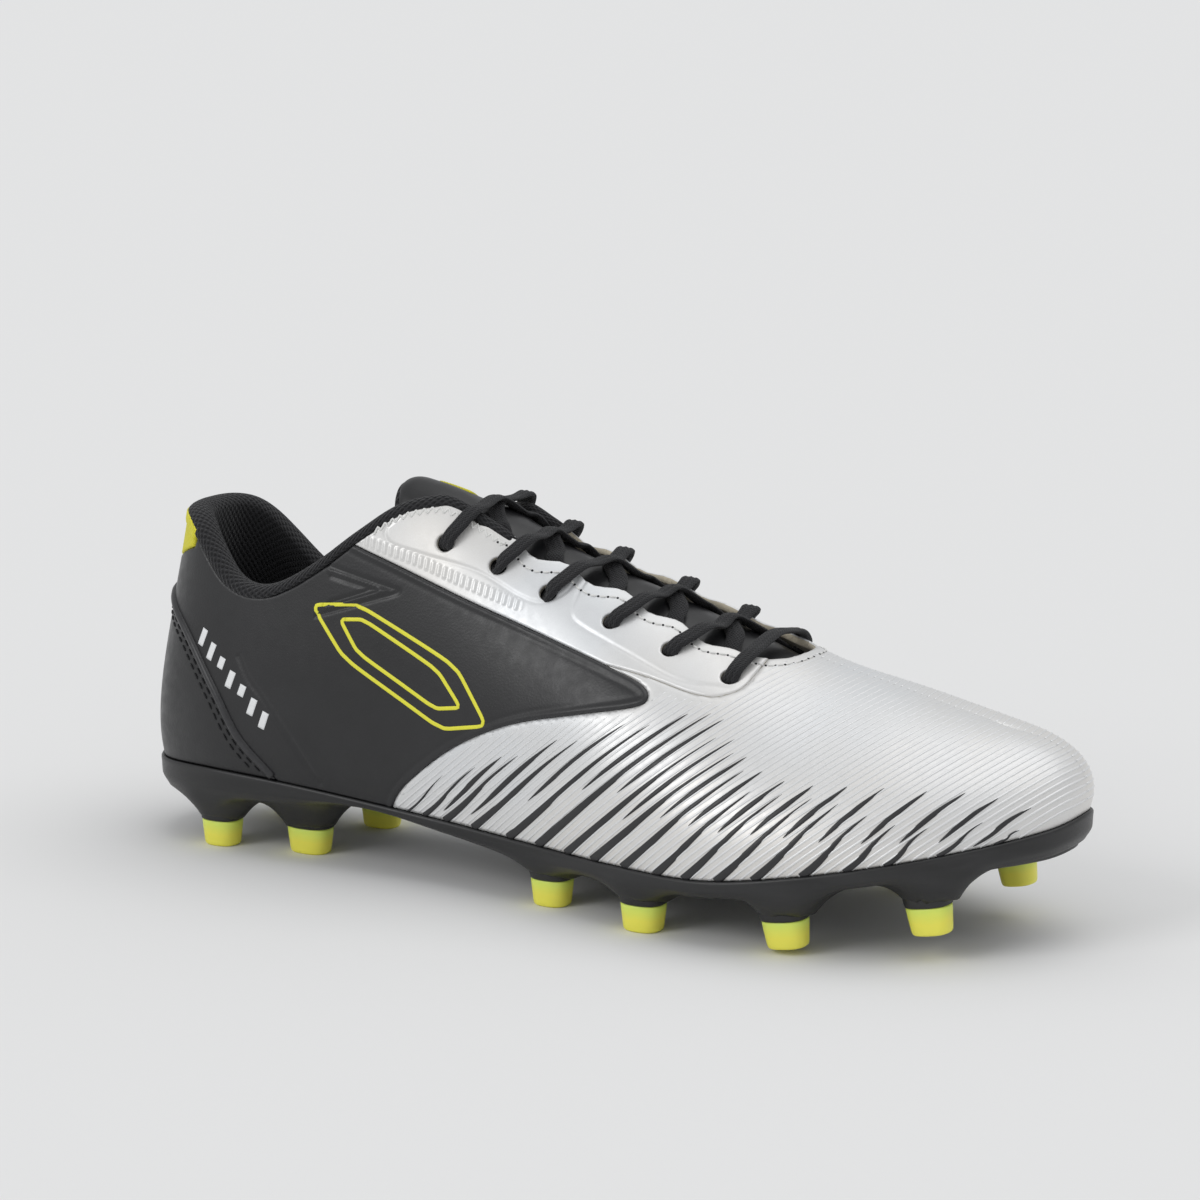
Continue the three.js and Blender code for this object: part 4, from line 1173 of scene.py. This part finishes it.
def section_at(side, level, t):
    """Section where the rib plane of each level crosses height t."""
    at = np.asarray(t) * (len(SLANT_T) - 1)
    low = np.clip(at.astype(int), 0, len(SLANT_T) - 2)
    out = []
    for value, i, f in zip(np.broadcast_to(level, np.shape(t)), low, at - low):
        column = SLANTS[side][:, i] * (1 - f) + SLANTS[side][:, i + 1] * f
        out.append(np.interp(value, column, SLANT_S))
    return np.array(out)


def flames():
    """(start level, lowest t, tip t, half width in mm, floating) of every stripe of one side."""
    rng = np.random.default_rng(7)
    made = []
    for start in MAIN_STRIPES:
        tip = np.interp(start, (78, 84, 101, 124, 144, 166, 190, 214, 223, 231),
                        (0.17, 0.2, 0.36, 0.57, 0.47, 0.365, 0.34, 0.19, 0.18, 0.06))
        half = np.interp(start, (78, 88, 102, 205, 231), (0.35, 0.95, 1.22, 1.1, 0.45))
        made.append((start, -0.01, tip, half * rng.uniform(0.94, 1.06), False))
    for before, after in zip(MAIN_STRIPES[1:], MAIN_STRIPES[2:]):
        start = (before + after) / 2
        low = np.interp(start, (87, 97, 117, 128, 139, 150, 184, 216, 226),
                        (0.035, 0.05, 0.23, 0.27, 0.185, 0.225, 0.2, 0.11, 0.02))
        high = np.interp(start, (87, 97, 117, 128, 148, 166, 200, 216, 226),
                         (0.25, 0.36, 0.54, 0.57, 0.47, 0.405, 0.39, 0.34, 0.21))
        made.append((start, low, high, rng.uniform(0.62, 0.74), True))
    return made


def flame_level(flame, t):
    """Slant level of a stripe's centre at height t; its tip sweeps back a little from the rib planes."""
    start, _, tip = flame[:3]
    lean = np.interp(start, (78, 101, 145, 165, 195, 222, 231), (-2, 0, -0.8, -4.2, -6, -1.6, 1))
    u = np.clip(t / tip, 0, 1)
    return start + lean * u ** 1.2 + 0.45 * np.sin(2 * np.pi * u)


def flame_width(flame, t):
    _, low, tip, half, floating = flame
    u = np.clip((t - low) / (tip - low), 0, 1)
    inside_t = (t >= low) & (t <= tip)
    if floating:
        shape = np.sin(np.pi * u ** 0.9) ** 0.8
    else:
        shape = (1 - u ** 1.25) ** 0.85
    return np.where(inside_t, half * shape, 0)


def stripes():
    """Black flame stripes, printed a little above the ribs."""
    parts = Parts()
    for side in SIDES:
        for flame in flames():
            low, tip = flame[1:3]
            t = np.maximum(np.linspace(low, tip, max(int((tip - low) / 0.006), 14)), 0)
            s = section_at(side, flame_level(flame, t), t)
            keep = s < LAST - 0.02
            t, s = t[keep], s[keep]
            points = inset(side, s, t, -0.02)
            clear = np.minimum(-quarter_region(points), 3)
            width = np.maximum(np.minimum(flame_width(flame, t), np.maximum(clear, 0.02)), 0.02)
            up = np.clip(width / 0.12, 0.15, 1)
            parts.add(*sweep(points, normal(side, s, t), strip_profile(1.0, 0.27),
                             np.stack([width, up], -1)))
    place(parts.build("flame_print", "black_ink"), "silver_synthetic")


def runs(mask):
    """Start and end of each stretch of True."""
    edges = np.flatnonzero(np.diff(np.concatenate([[0], mask.astype(int), [0]])))
    return list(zip(edges[::2], edges[1::2]))


def even(s, t, side, step, fewest=2):
    """The same path on the wall with its points about step mm apart."""
    run = arc_length(wall(side, s, t))
    at = np.linspace(0, run[-1], max(int(run[-1] / step), fewest))
    return np.interp(at, run, s), np.interp(at, run, t)


def ribs():
    """Fine raised ribs over the whole vamp, each in its own leaning plane."""
    parts = Parts()
    low_profile = [(-0.42, -0.22), (-0.24, 0.15), (0, 0.21), (0.24, 0.15), (0.42, -0.22)]
    fields = [outside_quarter, outside_eyestay, outside_throat]
    for side in SIDES:
        for level in np.arange(0, 235, RIB_PITCH):
            t = np.linspace(0.004, 1, 240)
            s = section_at(side, level, t)
            inner = (s > SLANT_S[0] + 0.02) & (s < LAST - 1e-4)
            inner[1:] |= inner[:-1]
            if inner.sum() < 6:
                continue
            s, t = even(s[inner], t[inner], side, 1.1)
            points = wall(side, s, t)
            clear = np.minimum.reduce([field(points) for field in fields])
            clear[s < SLANT_S[0] + 0.05] = 0
            for a, b in runs(clear > 1.1):
                if b - a < 5:
                    continue
                line, facing = points[a:b], normal(side, s[a:b], t[a:b])
                run = arc_length(line)
                ends = smooth(run / 4) if t[a] > 0.02 else np.ones(b - a)
                crossing = t[b - 1] > 0.995 or s[b - 1] > LAST - 0.01
                ends = ends * (1 if crossing else smooth((run[-1] - run) / 4))
                up = np.maximum(ends * (1 - 0.45 * smooth((t[a:b] - 0.55) / 0.3)), 0.02)
                parts.add(*sweep(line, facing, low_profile, np.stack([0.35 + 0.65 * up, up], -1)))
    place(parts.build("vamp_ribs", "ribs"), "silver_synthetic")


# ---- collar ----
def zero_between(t, value, k):
    """Where value, taken as straight between t[k] and t[k + 1], passes zero."""
    return t[k] + (t[k + 1] - t[k]) * value[k] / (value[k] - value[k + 1])


def first_height(field, side, s_values):
    """Lowest height on each section line where field turns positive; 1 where it never does."""
    t = np.linspace(0.2, 1, 321)
    out = []
    for s in s_values:
        value = field(wall(side, np.full(t.shape, s), t))
        hit = np.flatnonzero((value[:-1] < 0) & (value[1:] >= 0))
        out.append(zero_between(t, value, hit[0]) if len(hit) else 1.0)
    return np.array(out)


COLLAR_END = 6.72
plain_throat = Region(THROAT, plan=True)


def rim_heights(s_values):
    """Height of the collar rim on each section line, running on along the throat edge."""
    rim = np.concatenate([
        np.minimum(*(first_height(region, side, s) for region in (collar_region, plain_throat)))
        for side, s in ((MEDIAL, -s_values[s_values < 0]), (LATERAL, s_values[s_values >= 0]))])
    kernel = np.hanning(17)
    padded = np.concatenate([np.full(8, rim[0]), rim, np.full(8, rim[-1])])
    return np.convolve(padded, kernel / kernel.sum(), "valid")


def collar():
    """Knit lining with its padded rim and the binding that shows outside, as one closed shell."""
    s = np.linspace(-COLLAR_END, COLLAR_END, 460)
    away = np.abs(s)
    rim = rim_heights(s)
    span = np.linalg.norm(wall(LATERAL, s, rim) - wall(LATERAL, s, rim - 0.02), axis=1) / 0.02
    narrow = smooth((away - 5.3) / 0.9)
    width = (lining_depth(away, rim) + LINING) * (1 - narrow) + 3.1 * narrow
    proud_of_skin = 0.55
    half = (width + proud_of_skin) / 2
    crown = np.minimum(half, 2.7)
    top = rim - (crown - 0.5) / span
    end = smooth((COLLAR_END - away) / 0.12)
    rings = []
    for drop, proud in ((1.5, -0.9), (1.4, 0.1), (1.2, 0.42), (0.9, 0.55), (0.55, 0.6), (0.25, 0.58)):
        rings.append(inset(LATERAL, s, np.clip(top - drop / span, 0, 1), -proud * end))
    up = unit(wall(LATERAL, s, top) - wall(LATERAL, s, top - 0.03))
    for a in np.linspace(0.04, 0.96, 13) * np.pi:
        depth = -proud_of_skin + half * (1 - math.cos(a))
        rise = crown * math.sin(a) * (0.4 + 0.6 * end)
        rings.append(inset(LATERAL, s, top, depth) + up * rise[:, None])
    deep = 1 - smooth((away - 5.72) / 0.12)
    bottom = 0.03 * deep + (1 - deep) * (top - 7 / span)
    for f in np.linspace(0.02, 1, 34):
        t = top + (bottom - top) * f
        soft = lining_depth(away, t) + LINING
        rings.append(inset(LATERAL, s, t, soft * (1 - narrow) + np.minimum(soft, 2.6 + 30 * f) * narrow))
    for f in np.linspace(1, 0.1, 16):
        t = top + (bottom - top) * f
        soft = np.maximum(lining_depth(away, t), 0.6)
        rings.append(inset(LATERAL, s, t, np.minimum(soft * (1 - narrow) + 1.2 * narrow, soft)))
    rings = np.stack(rings, 1)
    run = arc_length(rings[:, 10])
    steps = np.linalg.norm(np.diff(rings, axis=1), axis=2).mean(0)
    girth = np.concatenate([[0], np.cumsum(steps)])
    cloth = np.stack(np.broadcast_arrays(run[:, None], girth[None]), -1).reshape(-1, 2)
    made = make_object("collar_knit", rings.reshape(-1, 3), ring_faces(len(s), rings.shape[1]), ["knit"],
                       cloth=cloth)
    place(made, "black_knit", "collar_lining", "collar_foam")
    return s, rim, span


def collar_zigzag(s, rim, span):
    """White zigzag thread that holds the binding to the eyestays."""
    parts = Parts()
    for side in SIDES:
        use = (s * -side > 4.95) & (s * -side < 6.65)
        ss, tt, ll = np.abs(s[use]), rim[use], span[use]
        if ss[0] > ss[-1]:
            ss, tt, ll = ss[::-1], tt[::-1], ll[::-1]
        line = wall(side, ss, tt)
        run = arc_length(line)
        at = np.arange(0.5, run[-1] - 0.5, 1.15)
        ss, tt, ll = (np.interp(at, run, v) for v in (ss, tt, ll))
        drop = np.where(np.arange(len(at)) % 2, 3.4, 4.9)
        t = tt - drop / ll
        points = inset(side, ss, t, -0.3)
        fine = resample(points, 0.4)
        facing = resample(normal(side, ss, t) * 50, 50 * 0.02)
        facing = sample(facing, np.linspace(0, 1, len(facing)), np.linspace(0, 1, len(fine)))
        parts.add(*sweep(fine, unit(facing), round_profile(0.3)))
    place(parts.build("collar_zigzag", "white_thread"), "silver_synthetic")


# ---- seams, stitches and prints ----
def level_path(field, level, s_values, side=LATERAL, top=0.95):
    """Points s, t where a field has one level, one per section line, dropping lines that never reach it."""
    t = np.linspace(0.004, top, 400)
    found = []
    for s in s_values:
        value = field(wall(side, np.full(t.shape, s), t)) - level
        hit = np.flatnonzero((value[:-1] > 0) & (value[1:] <= 0))
        if len(hit):
            found.append((s, zero_between(t, value, hit[-1])))
    return np.array(found)


def on_surface(path, depth=0.0, side=LATERAL, step=0.7):
    """Evenly spaced points and facings along a path of s, t."""
    s, t = even(*path.T, side, step, 3)
    return inset(side, s, t, depth), normal(side, s, t)


def stitches(parts, points, facings, length, gap, radius):
    """Short rounded stitches along a line of closely spaced points."""
    run = arc_length(points)
    start = gap
    while start + length < run[-1]:
        at = np.linspace(start, start + length, 7)
        line, facing = sample(points, run, at), unit(sample(facings, run, at))
        u = np.linspace(-1, 1, 7)
        line = line + facing * (radius * 0.9 * (np.sqrt(1 - 0.9 * u ** 2) - 0.75))[:, None]
        fat = np.sqrt(np.clip(1 - 0.93 * u ** 6, 0, 1))
        parts.add(*sweep(line, facing, round_profile(radius), np.stack([fat, fat], -1)))
        start += length + gap


def heel_seam():
    """Piping along the heel seam and two rows of stitches behind it."""
    s = np.linspace(-4.9, 4.9, 300)
    path = level_path(heel_region, 0.0, s)
    points, facings = on_surface(path, -0.1)
    half = [(-1.25, -0.5), (-1.2, 0.3), (-0.85, 0.85), (-0.3, 1.12)]
    profile = [*half, *[(-across, up) for across, up in half[::-1]]]
    made, faces, cloth = sweep(points, facings, profile)
    piping = make_object("heel_piping_cord", made, faces, ["black_skin"], cloth=cloth)
    place(piping, "black_synthetic", "heel_piping")
    parts = Parts()
    for level in (2.3, 4.0):
        points, facings = on_surface(level_path(heel_region, level, s), -0.12)
        stitches(parts, points, facings, 2.3, 0.9, 0.28)
    place(parts.build("heel_stitching", "black_thread_and_hole_shade"), "black_synthetic")


def on_eyestay(side, s, t, proud=0.0):
    """Points on the silver face, up on the eyestay where there is one."""
    points = wall(side, s, t)
    up = smooth((eyestay_region(points) + 0.2) / 0.4)
    relief = EYESTAY_LIFT + eyestay_relief(points)
    return points + normal(side, s, t) * (up * relief + proud)[:, None]


def throat_stitching():
    """White thread round the throat edge, with a dark plug at the end of each stitch as painted shade for
    the needle hole.
    """
    threads, hole_shade_plugs = Parts(), Parts()
    length, gap = 1.7, 0.9
    line = throat_region.seam
    d = unit(np.gradient(line, axis=0))
    aside = np.stack([-d[:, 1], d[:, 0]], -1) * 2.6
    shifted = line - aside
    if np.mean(throat_region(np.column_stack([shifted, np.zeros(len(shifted))]))) > 0:
        shifted = line + aside
    for side in SIDES:
        mine = (shifted[:, 1] - 4.5) * side >= 0
        flat = resample(shifted[mine & (shifted[:, 0] > 118)], 0.8)
        s, t = on_wall(side, flat, (0, 1))
        points, facings = on_eyestay(side, s, t, 0.1), normal(side, s, t)
        stitches(threads, points, facings, length, gap, 0.26)
        run = arc_length(points)
        for at in np.arange(gap / 2, run[-1], length + gap):
            centre, facing = sample(points, run, at), unit(sample(facings, run, at))
            # dark plug in the needle hole: painted shade standing in for the hole's depth
            tall = np.array([centre - facing * 0.6, centre - facing * 0.02])
            aside = unit(np.cross(facing, (1, 0.2, 0.1)))
            hole_shade_plugs.add(*sweep(tall, np.tile(aside, (2, 1)), round_profile(0.34, 8)))
    place(threads.build("throat_thread", "white_thread"), "silver_synthetic")
    place(hole_shade_plugs.build("throat_needle_hole_shade", "black_thread_and_hole_shade"), "silver_synthetic")


def rounded(points, times=3):
    """Closed outline with its corners cut round."""
    p = np.array(points, float)
    for _ in range(times):
        q = np.roll(p, -1, axis=0)
        p = np.stack([0.9 * p + 0.1 * q, 0.1 * p + 0.9 * q], 1).reshape(-1, 2)
    return np.vstack([p, p[:1]])


BADGE = [(69, 72.6), (83, 74), (114, 60.5), (125, 46.5), (110.5, 43.8), (80, 59.5)]
BADGE_SLOT = [(78, 69.6), (85, 70.2), (108.5, 59), (116.4, 50.2), (108.4, 49), (84, 61.4)]
MARK_FROM, MARK_TO = np.array([31.5, 61.5]), np.array([57.5, 38.5])
MARK_SIZES = (4.8, 4.8, 3.2, 4.8, 3.2, 4.8, 4.8)


def on_quarter(side, s, t):
    """Points on the face of a quarter, which follow its relief."""
    points = wall(side, s, t)
    return points + normal(side, s, t) * (0.26 + quarter_relief(points))[:, None]


def prints():
    """Generic badge outline in yellow and a row of plain white bars, on both quarters."""
    yellow, white = Parts(), Parts()
    for side in SIDES:
        for outline in (BADGE, BADGE_SLOT):
            flat = resample(rounded(outline), 0.7)[:-1]
            flat = np.vstack([flat, flat[:1]])
            s, t = on_wall(side, flat)
            points, facings = on_quarter(side, s, t), normal(side, s, t)
            yellow.add(*sweep(points, facings, strip_profile(0.52, 0.16, 0.4)))
        way = unit(MARK_TO - MARK_FROM)
        across = np.array([way[1], -way[0]])
        lean = unit(across * 0.9 + way * 0.35)
        for k, size in enumerate(MARK_SIZES):
            middle = MARK_FROM + (MARK_TO - MARK_FROM) * (k + 0.5) / len(MARK_SIZES)
            start = middle - lean * 2.4
            flat = start + lean * np.linspace(0, size, 7)[:, None]
            s, t = on_wall(side, flat)
            points, facings = on_quarter(side, s, t), normal(side, s, t)
            white.add(*sweep(points, facings, strip_profile(1.05, 0.15, 0.4)))
    place(yellow.build("badge_print", "yellow_ink"), "yellow_textile")
    place(white.build("bar_print", "white_ink"), "silver_synthetic")


# ---- tongue ----
def crown_tree():
    """Outer surface over the instep, to drop points on to."""
    s_values = np.linspace(4.2, 12.4, 165)
    grid = np.stack([*(wall(LATERAL, s_values, t) for t in np.linspace(0.35, 1, 40)),
                     *(roof(s_values, share, 0) for share in np.linspace(0.08, 0.92, 11)),
                     *(wall(MEDIAL, s_values, t) for t in np.linspace(1, 0.35, 40))], 1)
    faces = ring_faces(len(s_values), grid.shape[1], closed=False, capped=False)
    return BVHTree.FromPolygons([Vector(p) for p in grid.reshape(-1, 3)], faces)


def drop_on(tree, x, y):
    """Height of the surface under each x y. Points beside it take the height of their neighbours."""
    out = []
    for a, b in zip(np.ravel(x), np.ravel(y)):
        hit = tree.ray_cast(Vector((float(a), float(b), 200.0)), Vector((0, 0, -1)))[0]
        out.append(hit.z if hit is not None else np.nan)
    z = np.array(out).reshape(np.shape(x))
    flat = z.ravel()
    bad = np.isnan(flat)
    if bad.any():
        flat[bad] = np.interp(np.flatnonzero(bad), np.flatnonzero(~bad), flat[~bad])
    return z


def tongue_depth(x):
    """How far the tongue's face lies below the outer surface."""
    return np.interp(x, (84, 95, 105, 130, 143, 155, 182, 213), (3.2, 5.2, 7.2, 6.4, 6.2, 5.2, 4.4, 4.8))


def tongue_arch(x, y):
    """The free end curls down at both sides."""
    return 8.5 * ((y + 1.5) / 13) ** 2 * (1 - smooth((x - 91) / 21))


def softened(z, rounds):
    """Heights averaged with their neighbours, so that the crown has no crease."""
    for _ in range(rounds):
        p = np.pad(z, 1, mode="edge")
        z = (p[:-2, 1:-1] + p[2:, 1:-1] + p[1:-1, :-2] + p[1:-1, 2:] + 4 * z) / 8
    return z


def tongue():
    """Two padded halves with a binding round them, from the free end (far) to the sewn base."""
    crown = crown_tree()
    length, across = 150, 61
    far, base = 83.2, 213.0
    x = far + (base - far) * (1 - np.cos(np.pi * np.linspace(0, 0.86, length) / 1.72))
    x = far + (x - far) * (base - far) / (x[-1] - far)
    stations = (84, 91, 98, 106, 130, 160, 190, 213)
    low = np.interp(x, stations, (-14, -13.4, -11.6, -12.3, -12.5, -11.5, -12, -11))
    high = np.interp(x, stations, (13.4, 12.8, 11.2, 12.2, 15, 19, 21, 20))
    ending = np.sqrt(np.clip(1 - (1 - np.clip((x - far) / 9, 0, 1)) ** 2.4, 0, 1))
    middle, half = (low + high) / 2, (high - low) / 2 * np.maximum(ending, 0.02)
    b = np.sin(np.linspace(-0.5, 0.5, across) * np.pi)
    yy = middle[:, None] + half[:, None] * b
    xx = np.repeat(x[:, None], across, 1)
    z = softened(drop_on(crown, xx, yy), 14) - tongue_depth(xx) - tongue_arch(xx, yy)
    rim = np.minimum((1 - np.abs(b))[None] * half[:, None] * 1.3, xx - far)
    puff = np.sqrt(1 - (1 - np.clip(rim / 5.5, 0, 1)) ** 2)
    quilt = 0.25 * np.exp(-((xx - 108) / 0.9) ** 2)
    quilt += 0.2 * np.exp(-((np.abs(b)[None] - 0.72) / 0.05) ** 2) * (xx > 112)
    centre = z - 2.9
    upper = np.stack([xx, yy, centre + 0.25 + 2.55 * puff - quilt], -1)
    seam = np.stack([xx, yy, centre + 0.1], -1)
    lower = np.stack([xx, yy, centre - 0.3 - 2.4 * puff], -1)
    cloth = np.stack([xx, yy], -1).reshape(-1, 2)
    cloth = np.vstack([cloth, cloth])
    for name, top, under, look, nodes in (
        ("tongue_pad", upper, seam, "black_skin", ("tongue_face", "tongue_foam")),
        ("tongue_back", seam - UP * 0.05, lower, "knit", ("tongue_lining",)),
    ):
        points, faces, _ = thick_sheet(top.reshape(-1, 3), under.reshape(-1, 3), grid_tris(xx.shape))
        made = make_object(name, points, faces, [look], cloth=cloth,
                           values={"edge": np.full(len(points), 9.0)})
        bend_tongue(made, *nodes)
    rim_line = resample(np.concatenate([seam[:0:-1, 0], seam[0, :], seam[1:, -1]]), 1.0)
    cord = round_profile(1.0, 10) * (0.95, 0.8)
    made, faces, cord_cloth = sweep(rim_line, np.tile(UP, (len(rim_line), 1)), cord)
    binding = make_object("tongue_binding", made, faces, ["knit"], cloth=cord_cloth)
    bend_tongue(binding)
    tongue_label(crown)


def bend_tongue(piece, *nodes):
    """Hides the CAD nodes that a tongue piece replaces and bakes its placement into its mesh."""
    if nodes:
        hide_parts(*nodes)
    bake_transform(piece)


def tongue_label(crown):
    """Small sewn label near the free end."""
    x0, x1, y0, y1 = 91, 101, 2.5, 11.5
    xx, yy = np.meshgrid(np.linspace(x0, x1, 21), np.linspace(y0, y1, 21), indexing="ij")
    z = softened(drop_on(crown, xx, yy), 4) - tongue_depth(xx) - tongue_arch(xx, yy)
    rim = np.minimum.reduce([xx - x0, x1 - xx, yy - y0, y1 - yy])
    z = z + 0.1 + 0.35 * smooth(rim / 0.8)
    top = np.stack([xx, yy, z], -1).reshape(-1, 3)
    points, faces, _ = thick_sheet(top, top - UP * 0.6, grid_tris(xx.shape))
    made = make_object("tongue_label_tape", points, faces, ["yellow_tape"], cloth=points[:, :2])
    place(made, "yellow_textile", "tongue_label", body="tongue")


# ---- lace ----
def lace_points():
    """Control points of the lace: up one side from the inside end, over the front bar, and back again."""
    def half(start_side):
        points = []
        for row, (s, t) in enumerate(EYELETS):
            side = -start_side if row % 2 else start_side
            if row:
                before = EYELETS[row - 1][0]
                high = (row % 2 == 1) == (start_side == MEDIAL)
                middle = (before + s) / 2
                bed = float(tongue_depth(roof(np.array(middle), 0.5, 0)[0]))
                points.append(inset(-side, before - 0.1, t + 0.13, 3.4))
                points.append(inset(-side, before * 0.6 + middle * 0.4, t + 0.2, bed - 1.6))
                points.append(roof(np.array(middle), 0.5, bed - (3.0 if high else 1.2)))
                points.append(inset(side, s + 0.31, t + 0.195, 1.9 if high else 2.8))
                run_in = ((0.25, 0.125, -1.35), (0.15, 0.06, -1.55), (0.05, 0.015, -1.2), (0, -0.01, 0.9))
            else:
                run_in = ((0.16, 0.16, -0.6), (0.13, 0.11, -1.45), (0.08, 0.06, -1.5), (0.03, 0.012, -1.2),
                          (0, -0.01, 0.9))
            for ahead, rise, depth in run_in:
                points.append(inset(side, s + ahead, t + rise, depth))
            if row == len(EYELETS) - 1:
                points.append(inset(side, s, t - 0.012, 3.4))
                break
            points.append(inset(side, s, t + 0.02, 3.5))
            points.append(inset(side, s, t + 0.09, 3.9))
        end_side = start_side if len(EYELETS) % 2 else -start_side
        return points + [inset(end_side, s, t, depth) for s, t, depth in TAIL]

    bar = roof(np.array(EYELETS[0][0] + 0.2), 0.5, -0.2)
    return np.array([*half(LATERAL)[::-1], bar, *half(MEDIAL)])


def centripetal(points, steps):
    """Centripetal Catmull-Rom curve, sampled evenly in its parameter."""
    p = np.vstack([2 * points[0] - points[1], points, 2 * points[-1] - points[-2]])
    at = np.linspace(0, len(points) - 1, steps)
    out = []
    for value in at:
        i = min(int(value), len(points) - 2)
        w = value - i
        a, b, c, d = p[i: i + 4]
        d0, d1, d2 = (max(np.linalg.norm(v) ** 0.5, 1e-4) for v in (b - a, c - b, d - c))
        t1 = ((b - a) / d0 - (c - a) / (d0 + d1) + (c - b) / d1) * d1
        t2 = ((c - b) / d1 - (d - b) / (d1 + d2) + (d - c) / d2) * d1
        out.append(b + t1 * w + (3 * c - 3 * b - 2 * t1 - t2) * w ** 2
                   + (2 * b - 2 * c + t1 + t2) * w ** 3)
    return np.array(out)


def flat_profile():
    """Section of the flat lace, three ribs on each face, for unit half width and thickness."""
    x = np.sin(np.linspace(-0.5, 0.5, 17) * np.pi)
    ribbed = 0.36 * (0.5 + 0.5 * np.cos(2 * np.pi * x / 0.64)) * (1 - x ** 2)
    h = np.maximum(0.72 * np.sqrt(np.clip(1 - x ** 4, 0, 1)) + ribbed, 0.12)
    return np.vstack([np.stack([x, h], -1), np.stack([x, -h], -1)[::-1]])


AGLET_SHARE = 0.028


def lace():
    """Flat braid through all twelve eyelets, round inside them, with an aglet on each end."""
    steps = 4000
    line = centripetal(lace_points(), steps)
    shares = np.linspace(0, 1, steps)
    aglets = {"aglet_medial": line[shares <= AGLET_SHARE - 0.001],
              "aglet_lateral": line[shares >= 1 - AGLET_SHARE + 0.001]}
    body = line[(shares > AGLET_SHARE - 0.004) & (shares < 1 - AGLET_SHARE + 0.004)]
    body = resample(body, 0.75)
    for _ in range(2):
        body[1:-1] = (body[:-2] + 2 * body[1:-1] + body[2:]) / 4
    ahead = unit(np.gradient(body, axis=0))
    crosswise = np.abs(ahead[:, :1]) < 0.8
    reference = np.where(crosswise, np.array([1.0, 0, 0]), UP)
    upright = unit(reference - ahead * np.sum(reference * ahead, axis=1, keepdims=True))
    away = body - np.array([0, 3.0, 0])
    away[:, 0] = 0
    away[:, 2] = 28
    lying = np.cross(ahead, unit(away))
    lying *= np.where(np.sum(lying * upright, axis=1) < 0, -1, 1)[:, None]
    across = unit(lying + 0.3 * upright)
    for k in range(1, len(across)):
        if across[k] @ across[k - 1] < 0:
            across[k] = -across[k]
    for _ in range(12):
        across[1:-1] = across[:-2] + 2 * across[1:-1] + across[2:]
        across = unit(across)
    facing = np.cross(ahead, across)
    centres = np.vstack([eyelet_centres(side) for side in SIDES])
    near = np.min(np.linalg.norm(body[:, None] - centres[None], axis=2), axis=1)
    open_share = smooth((near - 1.0) / 6.5)
    wide = 2.25 + 0.25 * open_share
    thick = 1.1 - 0.34 * open_share
    count = np.arange(len(body))
    ends = smooth(np.minimum(count, count[::-1]) / 12)
    wide, thick = 1.3 + (wide - 1.3) * ends, 1.3 + (thick - 1.3) * ends
    points, faces, cloth = sweep(body, facing, flat_profile(), np.stack([wide, thick], -1))
    cloth[:, 1] *= 2.6
    made = make_object("lace_braid", points, faces, ["lace"], cloth=cloth)
    place(made, "black_lace", "lace")
    for node, part in aglets.items():
        part = resample(part, 1.0)
        fat = np.ones((len(part), 2))
        fat[[0, -1]] = 0.8
        points, faces, _ = sweep(part, np.tile(UP, (len(part), 1)), round_profile(1.38, 16), fat)
        place(make_object(node + "_tube", points, faces, ["plate"], sharp=50), "black_tpu", node)


# ---- the CAD nodes that stay ----
def keep_cad_nodes():
    for node, look in (("insole_board", "board"), ("heel_counter", "stiffener"), ("toe_puff", "stiffener")):
        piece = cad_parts[node]
        piece.data.materials.clear()
        piece.data.materials.append(MATERIALS[look])


# ---- stage ----
AZIMUTH, ELEVATION, DISTANCE = math.radians(28.6), math.radians(14.0), 1.044
AIM = Vector((0.00415, 0.0018, 0.04))
LENS = 117.6
# slopes by which the view turns left of and above the aim point
TURN_LEFT, TURN_UP = 0.0040816, 0.0344388


def stage():
    bpy.ops.mesh.primitive_plane_add(size=30)
    floor = bpy.context.object
    floor.name = "floor"
    paint = Nodes("pale_floor").finish((0.80, 0.80, 0.80), 0.9, Specular_IOR_Level=0.0)
    floor.data.materials.append(paint)


def sun_light(name, towards, power, spread):
    """Soft sun shining from one direction, spread degrees wide."""
    data = bpy.data.lights.new(name, "SUN")
    data.energy, data.angle = power, math.radians(spread)
    lamp = bpy.data.objects.new(name, data)
    lamp.rotation_euler = Vector(towards).to_track_quat("Z", "Y").to_euler()
    bpy.context.scene.collection.objects.link(lamp)


def lights():
    sun_light("window", (-0.41, -0.74, 0.53), 0.7, 28)
    sun_light("skylight", (0.3, 0.15, 0.94), 0.86, 60)
    world = bpy.data.worlds.new("studio")
    world.use_nodes = True
    sky = world.node_tree.nodes["Background"].inputs
    sky["Color"].default_value = (0.98, 0.99, 1.0, 1)
    sky["Strength"].default_value = 0.592
    scene = bpy.context.scene
    scene.world = world
    scene.view_settings.view_transform, scene.view_settings.look = "Standard", "None"


def camera():
    data = bpy.data.cameras.new("camera")
    data.lens, data.sensor_width = LENS, 36
    data.clip_start, data.clip_end = 0.05, 50
    lens = bpy.data.objects.new("camera", data)
    back = Vector((math.sin(AZIMUTH) * math.cos(ELEVATION), -math.cos(AZIMUTH) * math.cos(ELEVATION),
                   math.sin(ELEVATION)))
    right = Vector((math.cos(AZIMUTH), math.sin(AZIMUTH), 0))
    up = back.cross(right)
    lens.location = AIM + back * DISTANCE
    look = -back - right * TURN_LEFT + up * TURN_UP
    lens.rotation_euler = look.to_track_quat("-Z", "Y").to_euler()
    bpy.context.scene.collection.objects.link(lens)
    bpy.context.scene.camera = lens


camera()
stage()
lights()
sole_plate()
stud_collars()
for one in STUDS:
    stud_tip(one)
sockliner()
heel_cup()
quarters()
heel_tab()
eyestays()
vamp()
vamp_lining()
stripes()
ribs()
collar_zigzag(*collar())
heel_seam()
throat_stitching()
prints()
tongue()
lace()
keep_cad_nodes()
